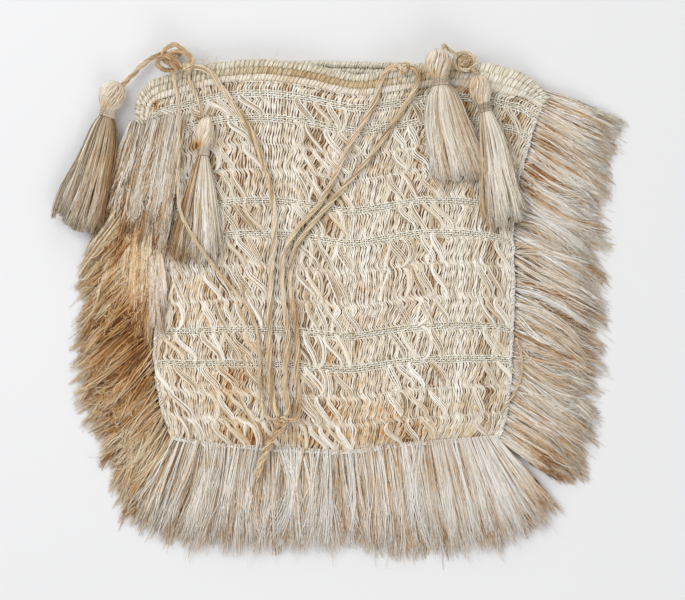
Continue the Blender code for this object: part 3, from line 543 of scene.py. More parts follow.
# each leg's node, the rim knot that it leaves, its width and its stain
handleLegs = {"handleThinLeft": ("handle_thin_left", "left", 0.0026, 0.26),
              "handleThickLeft": ("handle_thick_left", "left", 0.0042, 0.34),
              "handleThickRight": ("handle_thick_right", "right", 0.0038, 0.34),
              "handleThinRight": ("handle_thin_right", "right", 0.0036, 0.3)}
handleRoutes = {
    "handleThinLeft": [
        (-0.0942, 0.1146, 0.0178), (-0.0963, 0.1116, 0.0196), (-0.0954, 0.1056, 0.0214),
        (-0.093, 0.09, 0.0222), (-0.093, 0.06, 0.0222), (-0.0924, 0.0312, 0.0222), (-0.084, 0.0132, 0.0222),
        (-0.0732, -0.0024, 0.0214), (-0.0606, -0.018, 0.0182), (-0.0498, -0.0324, 0.0158),
        (-0.0456, -0.051, 0.0156), (-0.045, -0.072, 0.0156), (-0.0438, -0.0852, 0.0162),
        (-0.0402, -0.0936, 0.018),
    ],
    "handleThickLeft": [
        (-0.0804, 0.1146, 0.0178), (-0.0752, 0.1122, 0.0178), (-0.0696, 0.1056, 0.0172),
        (-0.0618, 0.0942, 0.0164), (-0.0528, 0.0816, 0.0162), (-0.0456, 0.0648, 0.0162),
        (-0.0396, 0.0474, 0.0162), (-0.0366, 0.033, 0.0162), (-0.036, 0.0168, 0.0162),
        (-0.0378, -0.0012, 0.0162), (-0.039, -0.024, 0.0162), (-0.0393, -0.051, 0.0162),
        (-0.0386, -0.072, 0.0164), (-0.036, -0.088, 0.0177),
    ],
    "handleThickRight": [
        (0.033, 0.1144, 0.0178), (0.0292, 0.1108, 0.0178), (0.0264, 0.104, 0.0172), (0.0234, 0.0936, 0.0164),
        (0.0144, 0.078, 0.0162), (0.0066, 0.0648, 0.0162), (-0.0012, 0.048, 0.0162),
        (-0.0102, 0.0324, 0.0162),
        (-0.021, 0.0204, 0.0162), (-0.0288, 0.0084, 0.0162), (-0.0318, -0.006, 0.0162),
        (-0.0306, -0.024, 0.0162), (-0.0282, -0.045, 0.0162), (-0.0294, -0.063, 0.0162),
        (-0.0296, -0.078, 0.0167), (-0.0276, -0.088, 0.0177),
    ],
    "handleThinRight": [
        (0.0474, 0.1142, 0.0178), (0.0496, 0.1104, 0.0178), (0.0482, 0.103, 0.0169), (0.0414, 0.0918, 0.0159),
        (0.033, 0.0786, 0.0156), (0.0246, 0.0666, 0.0156), (0.0138, 0.0528, 0.0156),
        (-0.0006, 0.0366, 0.0156),
        (-0.0144, 0.0204, 0.0156), (-0.0231, 0.0078, 0.0156), (-0.0267, -0.0072, 0.0156),
        (-0.0255, -0.024, 0.0156), (-0.0228, -0.045, 0.0156), (-0.023, -0.066, 0.0156),
        (-0.0218, -0.0828, 0.0162), (-0.0228, -0.0938, 0.0178),
    ],
    "handleTail": [
        (-0.036, -0.1044, 0.0172), (-0.0408, -0.1128, 0.0146), (-0.0444, -0.1218, 0.0122),
        (-0.0468, -0.1302, 0.0113),
    ],
}


def beside(knot, toward):
    # the point a small space off a knot, towards another point
    way = unit(np.array(toward) - knotPlaces[knot])
    return knotPlaces[knot] + way * (knotSizes[knot] + bag["gap"])


# how a cord is laid, as shares of its width, and how its strands vary
lay = {"plyReach": 0.21, "strandReach": 0.15, "strandTwist": 1.4, "strandSize": 0.36, "sway": 0.035,
       "uneven": 0.12, "tone": (0.42, 1.1), "stain": (-0.22, 0.22), "stainShare": 0.8}


def cordMesh(name, path, width, twist, finish, bundles, fine, gold, seed, flat=1.0):
    # a cord of twisted plies, each a bundle of finer strands
    rng = np.random.default_rng(seed)
    bundleLines, _ = plies(path, bundles, width * lay["plyReach"], twist)
    wound = [plies(line, fine, width * lay["strandReach"], twist * lay["strandTwist"], seed + number)
             for number, line in enumerate(bundleLines)]
    lines, ways = [np.concatenate(column) for column in zip(*wound)]
    shape = lines.shape[:2]
    lines = lines + wanderIn(3, shape, 30, rng, width * lay["sway"])
    lines[..., 2] = path[:, 2] + (lines[..., 2] - path[:, 2]) * flat
    tone = rng.uniform(*lay["tone"], (len(lines), 1)) + wander(shape, 20, rng, 0.08)
    stain = goldAt(lines, lay["stainShare"]) + gold + rng.uniform(*lay["stain"], (len(lines), 1))
    size = width * lay["strandSize"] / math.sqrt(bundles * fine) * (1 + wander(shape, 40, rng, lay["uneven"]))
    return strands(name, finish, lines, size, 4, 1, ways, tone, stain, threadGrain)


def makeHandle(name, node, path, width, twist, stain, seed, length):
    made = cordMesh(name, path, width, twist, "cord", 3, 5, stain, seed, handle["flat"])
    assign(made, "handles", "handle_cord", node)
    print(f"{name}: {lengthOf(path):.4f} m long")


for number, (name, (node, knot, width, stain)) in enumerate(handleLegs.items()):
    route = handleRoutes[name]
    path = smoothCurve([beside(knot, route[0]), *route, beside("tie", route[-1])], 240)
    makeHandle(name, node, path, width, handle["twist"] * width, stain, 10 + number, round(lengthOf(path), 3))
path = smoothCurve([beside("tie", handleRoutes["handleTail"][0]), *handleRoutes["handleTail"]], 60)
makeHandle("handleTail", "handle_tail", path, handle["tailWidth"], handle["tailTwist"],
           handle["tailStain"], 15, 0.03)
print("handles: four legs and a tail")


# Front and back walls

weave = {
    "warps": 152, "steps": 190, "radius": 0.00050, "plyOffset": 0.00032, "plyTwist": 0.0125, "lean": 0.0009,
    "crossLean": 0.6, "bandThin": 0.8, "lift": 0.0013, "arch": 0.0004, "jitter": 0.0001, "sway": 0.00026,
    "swayLevels": 30, "slits": 0.3, "slitWidth": 0.38,
    "bands": (0.964, 0.899, 0.675, 0.587, 0.331, 0.24), "rows": (0.828, 0.76, 0.503, 0.413, 0.161, 0.082),
    "bandThreads": 4, "bandSpacing": 0.0012, "threadRadius": 0.0005, "threadWave": 0.0006,
    "rowRadius": 0.00028, "rowWave": 0.0004, "rowSink": 0.0005, "rowDepth": 0.0006,
    "columns": ((0.055, 0.034), (0.225, 0.064), (0.47, 0.06), (0.73, 0.064), (0.935, 0.03)),
}
bundle = {"spacing": 0.0064, "travel": 0.0088, "radius": 0.00044, "strands": 4, "width": 0.0029,
          "lift": 0.0014, "dome": 0.0005, "backs": 0.3, "backSize": 0.5}
hair = {"count": 650, "steps": 9, "radius": 0.00009, "long": (0.004, 0.013), "above": 0.0022}
rowEnds = np.array(sorted((0.0, *weave["bands"], *weave["rows"], 1.0)))


def crossed(u):
    # 1 in the columns of crossed warps, 0 in the plain ones
    return np.max([ease(1.35 - np.abs(u - middle) / half) for middle, half in weave["columns"]], axis=0)


def nearBand(v):
    half = weave["bandSpacing"] * weave["bandThreads"] / 2 / wallHeight
    return np.max([ease(1.5 - np.abs(v - share) / half) for share in weave["bands"]], axis=0)


def rowShare(v):
    # how far a height is between the weft rows below and above it, and which cell it is in
    cell = np.clip(np.searchsorted(rowEnds, v, side="right") - 1, 0, len(rowEnds) - 2)
    return (v - rowEnds[cell]) / (rowEnds[cell + 1] - rowEnds[cell]), cell


def warpLines(wallPoint, numbers, rng, lift, steps, waviness):
    # a warp leans to and fro between the weft rows, and sways with its neighbours
    v = np.linspace(0, 1, steps)[None]
    u = ((numbers + 0.5) / weave["warps"])[:, None]
    share, cell = rowShare(v)
    loose = 1 - nearBand(v)
    cells, count = len(rowEnds), len(numbers)
    size = 1 + wander((cells, count), max(2, count // 7), rng, 0.4).T[:, cell[0]]
    size = size + rng.normal(0, 0.12, (count, cells))[:, cell[0]]
    lean = weave["lean"] * (1 + weave["crossLean"] * crossed(u)) * size * loose * waviness
    offset = -lean * (np.sin(2 * math.pi * share) + 0.4 * np.sin(4 * math.pi * share))
    last = weave["swayLevels"] - 1
    sway = wander((last + 1, count), max(2, count // 5), rng, weave["sway"])
    at = np.linspace(0, last, steps)
    low = np.minimum(at.astype(int), last - 1)
    mix = (at - low)[:, None]
    offset = offset + (sway[low] * (1 - mix) + sway[low + 1] * mix).T * loose
    jitter = wander((count, steps), 40, rng, weave["jitter"] * waviness)
    offset = offset + jitter * (1 + 1.6 * crossed(u))
    raised = lift + weave["arch"] * np.sin(math.pi * share) * loose
    raised = raised + wander((count, steps), 30, rng, 0.00016)
    return wallPoint(u + offset / wallWidth, v, raised), v, u, loose, share, cell


def makeWarps(name, wallPoint, numbers, seed, lift, steps, waviness=1.0):
    # each warp is two plies that turn round each other
    rng = np.random.default_rng(seed)
    lines, v, u, loose, share, cell = warpLines(wallPoint, numbers, rng, lift, steps, waviness)
    count = len(numbers)
    swell = np.sin(math.pi * share)
    full = rng.uniform(0.9, 1.12, (count, len(rowEnds)))
    slit = rng.random(full.shape) < weave["slits"] * crossed(u)
    full = np.where(slit, weave["slitWidth"], full)[:, cell[0]]
    radius = weave["radius"] * (weave["bandThin"] + (1 - weave["bandThin"]) * loose)
    radius = radius * (1 + (full - 1) * swell**0.6) * (0.9 + 0.1 * swell)
    across, over = waysOff(lines)
    phase = rng.normal(0, 0.13, (count, 1)) + wander((count,), max(2, count // 6), rng, 0.3)[:, None]
    turn = 2 * math.pi * (v * wallHeight / weave["plyTwist"] + phase + wander(share.shape, 12, rng, 0.06))
    offset = weave["plyOffset"] * (0.55 + 0.45 * loose) * (0.6 + 0.4 * full)
    # warps in the crossed columns, under the bundles, are painted darker: painted shade
    tone = rng.uniform(0.56, 0.92, (count, 1)) + wander((count, steps), 26, rng, 0.09) - 0.08 * crossed(u)
    gold = goldAt(lines) + rng.normal(0.03, 0.06, (count, 1))
    # in the crossed columns they are also painted more golden, painted shade in the recesses under the
    # bundles; they are more golden in each cell's middle, and less near the bands
    gold = gold + crossed(u) * (0.08 + wander((count, steps), 34, rng, 0.14)) + 0.22 * swell - 0.1
    gold = gold + wander((count, steps), 20, rng, 0.07) - 0.08 * (1 - loose)
    made = []
    for angle in (turn, turn + math.pi):
        wound = lines + (np.cos(angle) * offset)[..., None] * across
        wound = wound + (np.sin(angle) * offset * 0.8)[..., None] * over
        size = radius * rng.uniform(0.86, 1.14, (count, 1))
        # the ply that lies higher is painted lighter and the lower one darker: painted light and shade
        light = tone + rng.normal(0, 0.1, (count, 1)) + 0.05 * np.sin(angle)
        made.append((wound, size, light, gold + rng.normal(0, 0.06, (count, 1))))
    wound, size, light, stain = [np.concatenate(np.broadcast_arrays(*column)) for column in zip(*made)]
    return strands(name, "warps", wound, size, 4, 0.9, up, light, stain, (1.6, 600.0))


def weftLines(wallPoint, low, high, lift):
    # the threads of every band and row, between two shares of the way across
    steps = int(round((high - low) * weave["warps"] * 4)) + 1
    u = np.linspace(low, high, steps)
    turn = math.pi * u * weave["warps"]
    lines, widths = [], []
    for share in weave["bands"]:
        for thread in range(weave["bandThreads"]):
            v = share + (thread - (weave["bandThreads"] - 1) / 2) * weave["bandSpacing"] / wallHeight
            wave = weave["threadWave"] * np.cos(math.pi * (u * weave["warps"] + thread))
            lines.append(wallPoint(u, np.full(steps, v), lift + wave))
            widths.append(weave["threadRadius"])
    for share in weave["rows"]:
        for side in (1, -1):
            v = share + side * weave["rowWave"] * np.sin(turn) / wallHeight
            lines.append(wallPoint(u, v, lift - weave["rowSink"] + side * weave["rowDepth"] * np.cos(turn)))
            widths.append(weave["rowRadius"])
    return np.array(lines), np.array(widths)[:, None]


def makeWefts(name, wallPoint, low, high, seed, lift):
    rng = np.random.default_rng(seed)
    lines, widths = weftLines(wallPoint, low, high, lift)
    shape = lines.shape[:2]
    lines[..., 1] += wander(shape, 60, rng, 0.00014)
    lines[..., 2] += wander(shape, 50, rng, 0.00018)
    tone = rng.uniform(0.66, 0.88, (len(lines), 1)) + wander(shape, 60, rng, 0.12)
    return strands(name, "wefts", lines, widths, 4, 0.8, up, tone, goldAt(lines, 0.6) + 0.02, (2.2, 500.0))


def bundlePath(kind, travel, rng):
    # how far across, and how far down its cell, a crossing bundle is along its length
    t = np.linspace(0, 1, 17)
    if kind == "curl":
        across = travel * (0.1 * t + rng.uniform(0.25, 0.7) * np.sin(math.pi * t))
        down = t - 0.07 * np.sin(2 * math.pi * t)
    else:
        bow, sway = rng.normal(0, 0.16), rng.normal(0, 0.07)
        across = travel * (ease((t - 0.1) / 0.8) + bow * np.sin(math.pi * t) + sway * np.sin(2 * math.pi * t))
        down = t
    return across if kind != "back" else -0.4 * across, down, t


def bundleStrands(kind, begin, travel, bottomRow, topRow, rng):
    # each strand of one bundle: its line, tone, stain and radius
    across, down, t = bundlePath(kind, travel, rng)
    first, last = rng.normal(-0.02, 0.03), rng.normal(1.02, 0.03)
    v = topRow + (bottomRow - topRow) * (first + (last - first) * down)
    slim = bundle["backSize"] if kind == "back" else 1.0
    width = bundle["width"] * rng.uniform(0.7, 1.15) * slim
    width = width * (0.3 + 0.7 * np.sin(math.pi * t) ** 0.7)
    stain, light, tilt = rng.normal(0.02, 0.07), rng.uniform(0.8, 1.0), rng.uniform(-1, 1)
    top = bundle["lift"] * rng.uniform(0.7, 1.2) * slim
    ends = np.sin(math.pi * t) ** 0.5
    made = []
    for strand in range(bundle["strands"]):
        share = strand / (bundle["strands"] - 1) - 0.5
        aside = share * width + wander((len(t),), 4, rng, 0.00012)
        dome = bundle["dome"] * np.cos(math.pi * share)
        height = 0.0006 + (0.0008 + top) * ends + dome * ends + aside * 0.3 * tilt
        line = frontWallPoint(begin + (across + aside) / wallWidth, v + aside * 0.35 / wallHeight, height)
        tone = light - 0.19 + rng.normal(0, 0.2) + 0.1 * (1 - ends)
        gold = stain + 0.05 + rng.normal(0, 0.13) - 0.1 * (1 - ends)
        made.append((line, tone, gold, bundle["radius"] * rng.uniform(0.8, 1.2) * (0.6 + 0.4 * slim)))
    return made


def makeBundles(name, low, high, seed):
    # smooth bundles that cross from one weft row to the next in the open columns
    rng = np.random.default_rng(seed)
    made = []
    for middle, half in weave["columns"]:
        if not low <= middle < high:
            continue
        number = max(1, int(round(2 * half * wallWidth / bundle["spacing"])))
        starts = middle + half * 0.92 * (2 * (np.arange(-1, number + 1) + 0.5) / number - 1)
        for bottomRow, topRow in zip(rowEnds[:-2], rowEnds[1:-1]):
            for start in starts:
                kinds = [rng.choice(["down", "down", "down", "down", "none", "curl"])]
                kinds += ["back"] * (rng.random() < bundle["backs"])
                for kind in kinds:
                    begin = start + rng.normal(0, 0.0005) / wallWidth
                    travel = bundle["travel"] * rng.uniform(0.6, 1.15)
                    if kind != "none" and middle - half * 1.35 < begin < middle + half * 1.1:
                        made += bundleStrands(kind, begin, travel, bottomRow, topRow, rng)
    lines, tones, golds, radii = [np.array(column) for column in zip(*made)]
    taper = 0.75 + 0.25 * np.sin(math.pi * np.linspace(0, 1, lines.shape[1]))
    return strands(name, "bundles", lines, radii[:, None] * taper, 5, 0.9, up, tones,
                   goldAt(lines, 0.6) + golds, (1.8, 600.0))


def makeHairs(name, low, high, seed):
    # thin stray fibres that lie over the weave
    rng = np.random.default_rng(seed)
    count, steps = hair["count"], hair["steps"]
    u, v = rng.uniform(low + 0.02, high - 0.02, (count, 1)), rng.uniform(0.03, 0.97, (count, 1))
    heading = rng.normal(math.pi / 2, 0.7, (count, 1)) + wander((count, steps), 3, rng, 0.5)
    stride = rng.uniform(*hair["long"], (count, 1)) / steps
    across = np.cumsum(np.cos(heading) * stride, axis=1) / wallWidth
    upward = np.cumsum(np.sin(heading) * stride, axis=1) / wallHeight
    arch = np.sin(math.pi * np.linspace(0, 1, steps))
    height = hair["above"] + rng.uniform(0, 0.001, (count, 1)) * arch
    lines = frontWallPoint(np.clip(u + across, low, high), v + upward, height)
    return strands(name, "bundles", lines, hair["radius"] * rng.uniform(0.8, 1.6, (count, 1)), 3, 1, up,
                   rng.uniform(0.5, 1.1, (count, 1)), rng.uniform(-0.1, 0.4, (count, 1)))


# the sheet behind the strands, whose dark top is painted shade in the gaps: its parts across and up, and how
# large it is laid flat, in metres
cloth = {"columns": 56, "rows": 84, "half": (0.113, 0.222), "halfArea": 0.0231, "whole": (0.226, 0.222),
         "wholeArea": 0.0462}


def makeCloth(name, wallPoint, low, high, lift, thick):
    columns, rows = cloth["columns"], cloth["rows"]
    u, v = np.meshgrid(np.linspace(low, high, columns), np.linspace(0, 1, rows))
    points = np.concatenate([wallPoint(u, v, height).reshape(-1, 3) for height in (lift + thick, lift)])
    under = rows * columns
    faces = []
    for row in range(rows - 1):
        for column in range(columns - 1):
            a = row * columns + column
            faces.append((a, a + 1, a + columns + 1, a + columns))
            faces.append((under + a, under + a + columns, under + a + columns + 1, under + a + 1))
    inside = np.arange(len(faces)) % 2
    grid = np.arange(under).reshape(rows, columns)
    ring = np.concatenate([grid[0], grid[1:, -1], grid[-1, -2::-1], grid[-2:0:-1, 0]]).tolist()
    for a, b in zip(ring, ring[1:] + ring[:1]):
        faces.append((a, under + a, under + b, b))
    mesh = bpy.data.meshes.new(name)
    mesh.from_pydata(points.tolist(), [], faces)
    mesh.shade_smooth()
    # the top takes the dark painted shade seen between the strands, the underside the pocket's inside
    mesh.materials.append(finishes["cloth"])
    mesh.materials.append(finishes["clothInside"])
    inside = np.concatenate([inside, np.zeros(len(ring), int)])
    mesh.polygons.foreach_set("material_index", inside.astype(np.int32))
    return linked(name, mesh)


def makeFrontWall():
    half = weave["warps"] // 2
    halves = {"Left": (0, half, 0.0, 0.5), "Right": (half, weave["warps"], 0.5, 1.0)}
    for number, (side, (first, last, low, high)) in enumerate(halves.items()):
        sheet = makeCloth(f"frontCloth{side}", frontWallPoint, low, high, 0.0001, 0.0005)
        lift = weave["lift"]
        pieces = [makeWarps(f"frontWarps{side}", frontWallPoint, np.arange(first, last), 21 + number, lift,
                            weave["steps"]),
                  makeWefts(f"frontWefts{side}", frontWallPoint, low, high, 31 + number, lift + 0.0003),
                  makeBundles(f"frontBundles{side}", low, high, 41 + number),
                  makeHairs(f"frontHairs{side}", low, high, 45 + number)]
        for piece in (sheet, *pieces):
            assign(piece, side.lower() + "Bend", "front_wall_weave", "front_panel")


def makeBackWall():
    warps = np.arange(weave["warps"])
    sheet = makeCloth("backCloth", backWallPoint, 0.0, 1.0, 0.0009, 0.0004)
    pieces = [makeWarps("backWarps", backWallPoint, warps, 51, 0.0016, 90, 0.8),
              makeWarps("backWarpsUnder", backWallPoint, warps, 52, 0.0011, 60, 0.6),
              makeWefts("backWefts", backWallPoint, 0.0, 1.0, 53, 0.0021)]
    for piece in (sheet, *pieces):
        assign(piece, "back", "back_wall_weave", "back_panel")


makeFrontWall()
makeBackWall()
print("walls: twined cloth, crossed columns and weft rows")


# Whipped rims and twined hems

winding = {"threads": 3, "pointsPerTurn": 14, "fuzz": 0.00014}
rims = {"pitch": 0.0029, "spread": 0.78, "slant": 0.0013, "coreSteps": 120, "tanMiddle": -0.012,
        "tanReach": 0.062, "shoulder": 0.28, "shoulderAt": 0.098, "shoulderReach": 0.03,
        "backPitch": 0.0028, "backRise": 0.0026, "backRiseAt": 0.095, "backRiseReach": 0.034}
# each roll of the front rim: its place across it, half its width, its height, finish, stain and pitch
frontRolls = {"Outer": (0.31, 0.215, 1.0, "paleRim", 0.06, rims["pitch"]),
              "Inner": (-0.03, 0.21, 0.96, "tanRim", 0.5, rims["pitch"]),
              "Lower": (-0.36, 0.2, 0.74, "warps", 0.1, 0.0022)}


def wound(path, heights, wide, high, pitch, spread, slant, rng, start=0.0, end=1.0):
    # threads wound side by side round a roll, and which way each stands off it
    long = lengthOf(path) * (end - start)
    steps = int(long / pitch * winding["pointsPerTurn"]) + 1
    share = np.linspace(start, end, steps)
    known = sharesAlong(path)
    centre = pointAt(path, share)
    side = unit(sampled(share, known, leftOf(path)))
    ahead = np.cross(side, up)
    wide, high = [np.interp(share, known, np.broadcast_to(size, len(path))) for size in (wide, high)]
    middle = np.interp(share, known, heights)
    threads = winding["threads"]
    lines, ways = [], []
    for thread in range(threads):
        turn = 2 * math.pi * (share * long / (end - start) / pitch) + thread * spread * 2 * math.pi / threads
        way = side * np.cos(turn)[:, None] + up * np.sin(turn)[:, None]
        point = centre + side * (np.cos(turn) * wide)[:, None] + up * (middle + np.sin(turn) * high)[:, None]
        point = point + ahead * (slant * np.cos(turn))[:, None]
        lines.append(point + way * rng.normal(0, winding["fuzz"], steps)[:, None])
        ways.append(way)
    return np.array(lines), np.array(ways)


def roll(name, path, heights, wide, high, finish, seed, start, end, gold, pitch):
    # a wound roll and the core inside it
    rng = np.random.default_rng(seed)
    thread = pitch / winding["threads"] * 0.5
    lines, ways = wound(path, heights, wide - thread, high - thread, pitch, rims["spread"],
                        rims["slant"], rng, start, end)
    shape = lines.shape[:2]
    tone = rng.uniform(0.55, 0.8, (len(lines), 1)) + wander(shape, 150, rng, 0.12)
    lines = lines + wander(shape, 160, rng, 0.00016)[..., None] * np.array([1, 0.4, 0.4])
    size = thread * (1 + wander(shape, 120, rng, 0.12))
    tan = gold * np.exp(-((lines[..., 0] - rims["tanMiddle"]) / rims["tanReach"]) ** 4)
    tan = tan + wander(shape, 50, rng, 0.06)
    piece = strands(name, finish, lines, size, 5, 1, ways, tone, goldAt(lines, 0.8) + tan, threadGrain)
    inset = thread * 1.7
    rows = np.column_stack([path[:, :2], heights, np.broadcast_to(wide, len(path))])
    core = sampled(np.linspace(start, end, rims["coreSteps"]), sharesAlong(path), rows)
    flat = float(np.min(high - inset) / np.max(wide - inset))
    inner = strands(name + "Core", finish, core[None, :, :3], (core[:, 3] - inset)[None], 10, flat, up,
                    0.62, 0.35)
    return joined(name, [piece, inner])


def makeFrontRim():
    across = frontRimLine[:, 0]
    low = drooped(np.minimum(across - across[0], across[-1] - across))
    wide = rimTaper(frontRimLine) * bag["frontRimWidth"]
    shoulder = np.exp(-(((across - rims["shoulderAt"]) / rims["shoulderReach"]) ** 2))
    wide = wide * (1 + rims["shoulder"] * shoulder)
    middle = float(np.interp(0.0, across, sharesAlong(frontRimLine)))
    high = bag["rimHeight"] / 2
    for row, (aside, half, tall, finish, gold, pitch) in frontRolls.items():
        line = frontRimLine + leftOf(frontRimLine) * (wide * aside)[:, None]
        for side, start, end in (("Left", 0.0, middle), ("Right", middle, 1.0)):
            piece = roll(f"frontRim{row}{side}", line, low + high * tall, wide * half, high * tall, finish,
                         61 + len(row + side), start, end, gold, pitch)
            assign(piece, side.lower() + "Bend", "rim_whipping", "front_rim")


def makeBackRim():
    wide = rimTaper(backRimLine) * bag["backRimWidth"]
    raised = np.exp(-(((backRimLine[:, 0] - rims["backRiseAt"]) / rims["backRiseReach"]) ** 2))
    high = bag["rimHeight"] / 2
    for number, (row, sign) in enumerate({"Outer": 1, "Inner": -1}.items()):
        line = backRimLine + leftOf(backRimLine) * (rims["backRise"] * raised + sign * wide * 0.25)[:, None]
        piece = roll(f"backRim{row}", line, np.full(len(line), high), wide * 0.255, high, "paleRim",
                     67 + number, 0.0, 1.0, 0.05, rims["backPitch"])
        assign(piece, "back", "rim_whipping", "back_rim")


hems = {"pitch": 0.0034, "thread": 0.00052, "spread": 0.8, "slant": 0.001, "edgeAside": 0.0010, "edgeStep": 6,
        "edgePoints": 420, "edgeSway": 0.0003, "edgePitch": 0.0034, "edgeThreads": 5, "edgeThread": 0.00032,
        "edgeRadius": 0.001, "fuzz": 0.0003}


def makeHem(name, node, path, seed, gold=0.0):
    # the hem between the walls, and the soft twined line on the front wall's edge above it
    rng = np.random.default_rng(seed)
    thread = hems["thread"]
    middle = np.full(len(path), bag["wall"] + bag["gap"] + bag["seamHeight"] / 2)
    lower, ways = wound(path + leftOf(path) * (bag["seamWidth"] / 2), middle, bag["seamWidth"] / 2 - thread,
                        bag["seamHeight"] / 2 - thread, hems["pitch"], hems["spread"], hems["slant"], rng)
    first = strands(name + "Lower", "hem", lower, thread, 4, 1, ways, rng.uniform(0.5, 0.8, (len(lower), 1)),
                    goldAt(lower, 0.7) + gold)
    edge = path + leftOf(path) * hems["edgeAside"]
    edge = smoothCurve(edge[::hems["edgeStep"]], hems["edgePoints"])
    edge[:, 2] = hemTop + bag["wall"] + hems["edgeRadius"] * 0.4
    edge[:, :2] += wanderIn(2, (len(edge),), 60, rng, hems["edgeSway"])
    upper, ways = plies(edge, hems["edgeThreads"], hems["edgeRadius"] * 0.62, hems["edgePitch"])
    shape = upper.shape[:2]
    fuzz = wanderIn(3, shape, 150, rng, hems["fuzz"])
    size = hems["edgeThread"] * (1 + wander(shape, 120, rng, 0.2))
    tone = rng.uniform(0.75, 1.05, (len(upper), 1)) + wander(shape, 80, rng, 0.1)
    second = strands(name + "Edge", "hem", upper + fuzz, size, 4, 1, ways, tone,
                     goldAt(upper, 0.4) + gold - 0.05)
    assign(joined(name, [first, second]), "back", "hem_twining", node)


makeFrontRim()
makeBackRim()
makeHem("hemLeft", "side_seam_left", leftLine, 71, 0.02)
makeHem("hemBottom", "bottom_seam", bottomLine, 72)
makeHem("hemRight", "side_seam_right", rightLine, 73)
print("rims and hems: wound and twined")


# Fringe

# where the fringe leaves each side of the hem, as a share of that side, and where its tips lie
fringeTips = {
    "left": [("left", 0.015, -0.63, 0.095), ("left", 0.12, -0.69, -0.01), ("left", 0.3, -0.7, -0.13),
             ("left", 0.6, -0.716, -0.332), ("left", 0.86, -0.64, -0.519), ("bottom", 0.0, -0.554, -0.7),
             ("bottom", 0.17, -0.332, -0.765), ("bottom", 0.4, -0.086, -0.76),
             ("bottom", 0.63, 0.143, -0.765),
             ("bottom", 0.8, 0.32, -0.765), ("bottom", 0.92, 0.49, -0.74), ("bottom", 0.99, 0.615, -0.655)],
    "right": [("right", 0.0, 0.61, -0.575), ("right", 0.04, 0.668, -0.58), ("right", 0.12, 0.7, -0.505),
              ("right", 0.26, 0.727, -0.35), ("right", 0.48, 0.74, -0.16), ("right", 0.7, 0.75, 0.035),
              ("right", 0.86, 0.752, 0.185), ("right", 0.95, 0.766, 0.29), ("right", 1.0, 0.794, 0.36)],
    "back": [("bottom", 0.1, -0.33, -0.728), ("bottom", 0.3, -0.19, -0.733), ("bottom", 0.5, 0.03, -0.738),
             ("bottom", 0.68, 0.16, -0.795), ("bottom", 0.8, 0.3, -0.795), ("bottom", 0.9, 0.4, -0.72)],
}
rightFringeLine = np.vstack([rightLine, [place(0.562, 0.425), place(0.572, 0.44)]])
# what every fringe and fall shares, unless it says otherwise. A pair of rows gives places along the hem,
# as shares of the way round, and the value at each. top is a fibre's height at four places along it.
# gather is how far fibres draw together at the hem, and broken, strays and tanned are shares of them. edge
# and deepShade are painted shade, between the locks and on the lower layers, and rootLight is painted light
# at the root.
lockBasis = {"layers": 5, "radius": 0.00025, "top": (0.0090, 0.0080, 0.0070, 0.0056), "clump": 12,
             "ragged": 0.0, "edge": 0.2, "dim": 0.0, "steps": 9, "gather": 0.35, "wisp": 3,
             "broken": 0.15, "strays": 0.05, "tanned": 0.3, "rootLight": 0.28, "deepShade": 0.4,
             "tone": (0.05, 1.3)}
fringe = {
    "left": {**lockBasis, "fibres": 16000, "locks": 96, "pull": (0.1, 0.75), "bend": 1.3, "spread": 1.2,
             "length": (0.93, 1.06), "shortest": ((0.0, 0.36, 0.455, 1.0), (0.2, 0.24, 0.78, 0.82)),
             "inset": 0.003, "clump": 14, "ragged": ((0.0, 0.4, 0.455, 1.0), (0.8, 0.7, 0.0, 0.0)),
             "light": 0.66, "dim": ((0.34, 0.4, 0.46, 0.53), (0.0, -0.16, -0.14, 0.14)),
             "pale": ((0.4, 0.47), (0.26, 0.05))},
    "right": {**lockBasis, "fibres": 9500, "locks": 60, "pull": (0.05, 0.7), "bend": 1.8, "spread": 1.7,
              "length": (0.9, 1.06), "shortest": 0.62, "inset": 0.0032, "ragged": 0.12, "light": 0.74,
              "pale": ((0.0, 1.0), (0.04, 0.1))},
    "back": {**lockBasis, "fibres": 1500, "locks": 12, "layers": 2, "pull": (0.2, 0.7), "bend": 0.4,
             "spread": 0.5, "length": (0.88, 1.02), "shortest": 0.8, "inset": 0.0015, "top": (0.0021,) * 4,
             "light": 0.5, "pale": 0.0},
}
fringeNodes = {"left": [f"fringe_left_{n}" for n in range(1, 5)], "back": ["fringe_back_layer"],
               "bottom": [f"fringe_bottom_{n}" for n in range(1, 6)],
               "right": [f"fringe_right_{n}" for n in range(1, 6)]}
mostFibres = 3900  # the most fibres in one piece; in one piece, so that the export keeps all its triangles


def profile(values, at):
    # one value for all, or values looked up in a pair of rows
    return np.interp(at, *values) if isinstance(values, tuple) else np.full(np.shape(at), values)


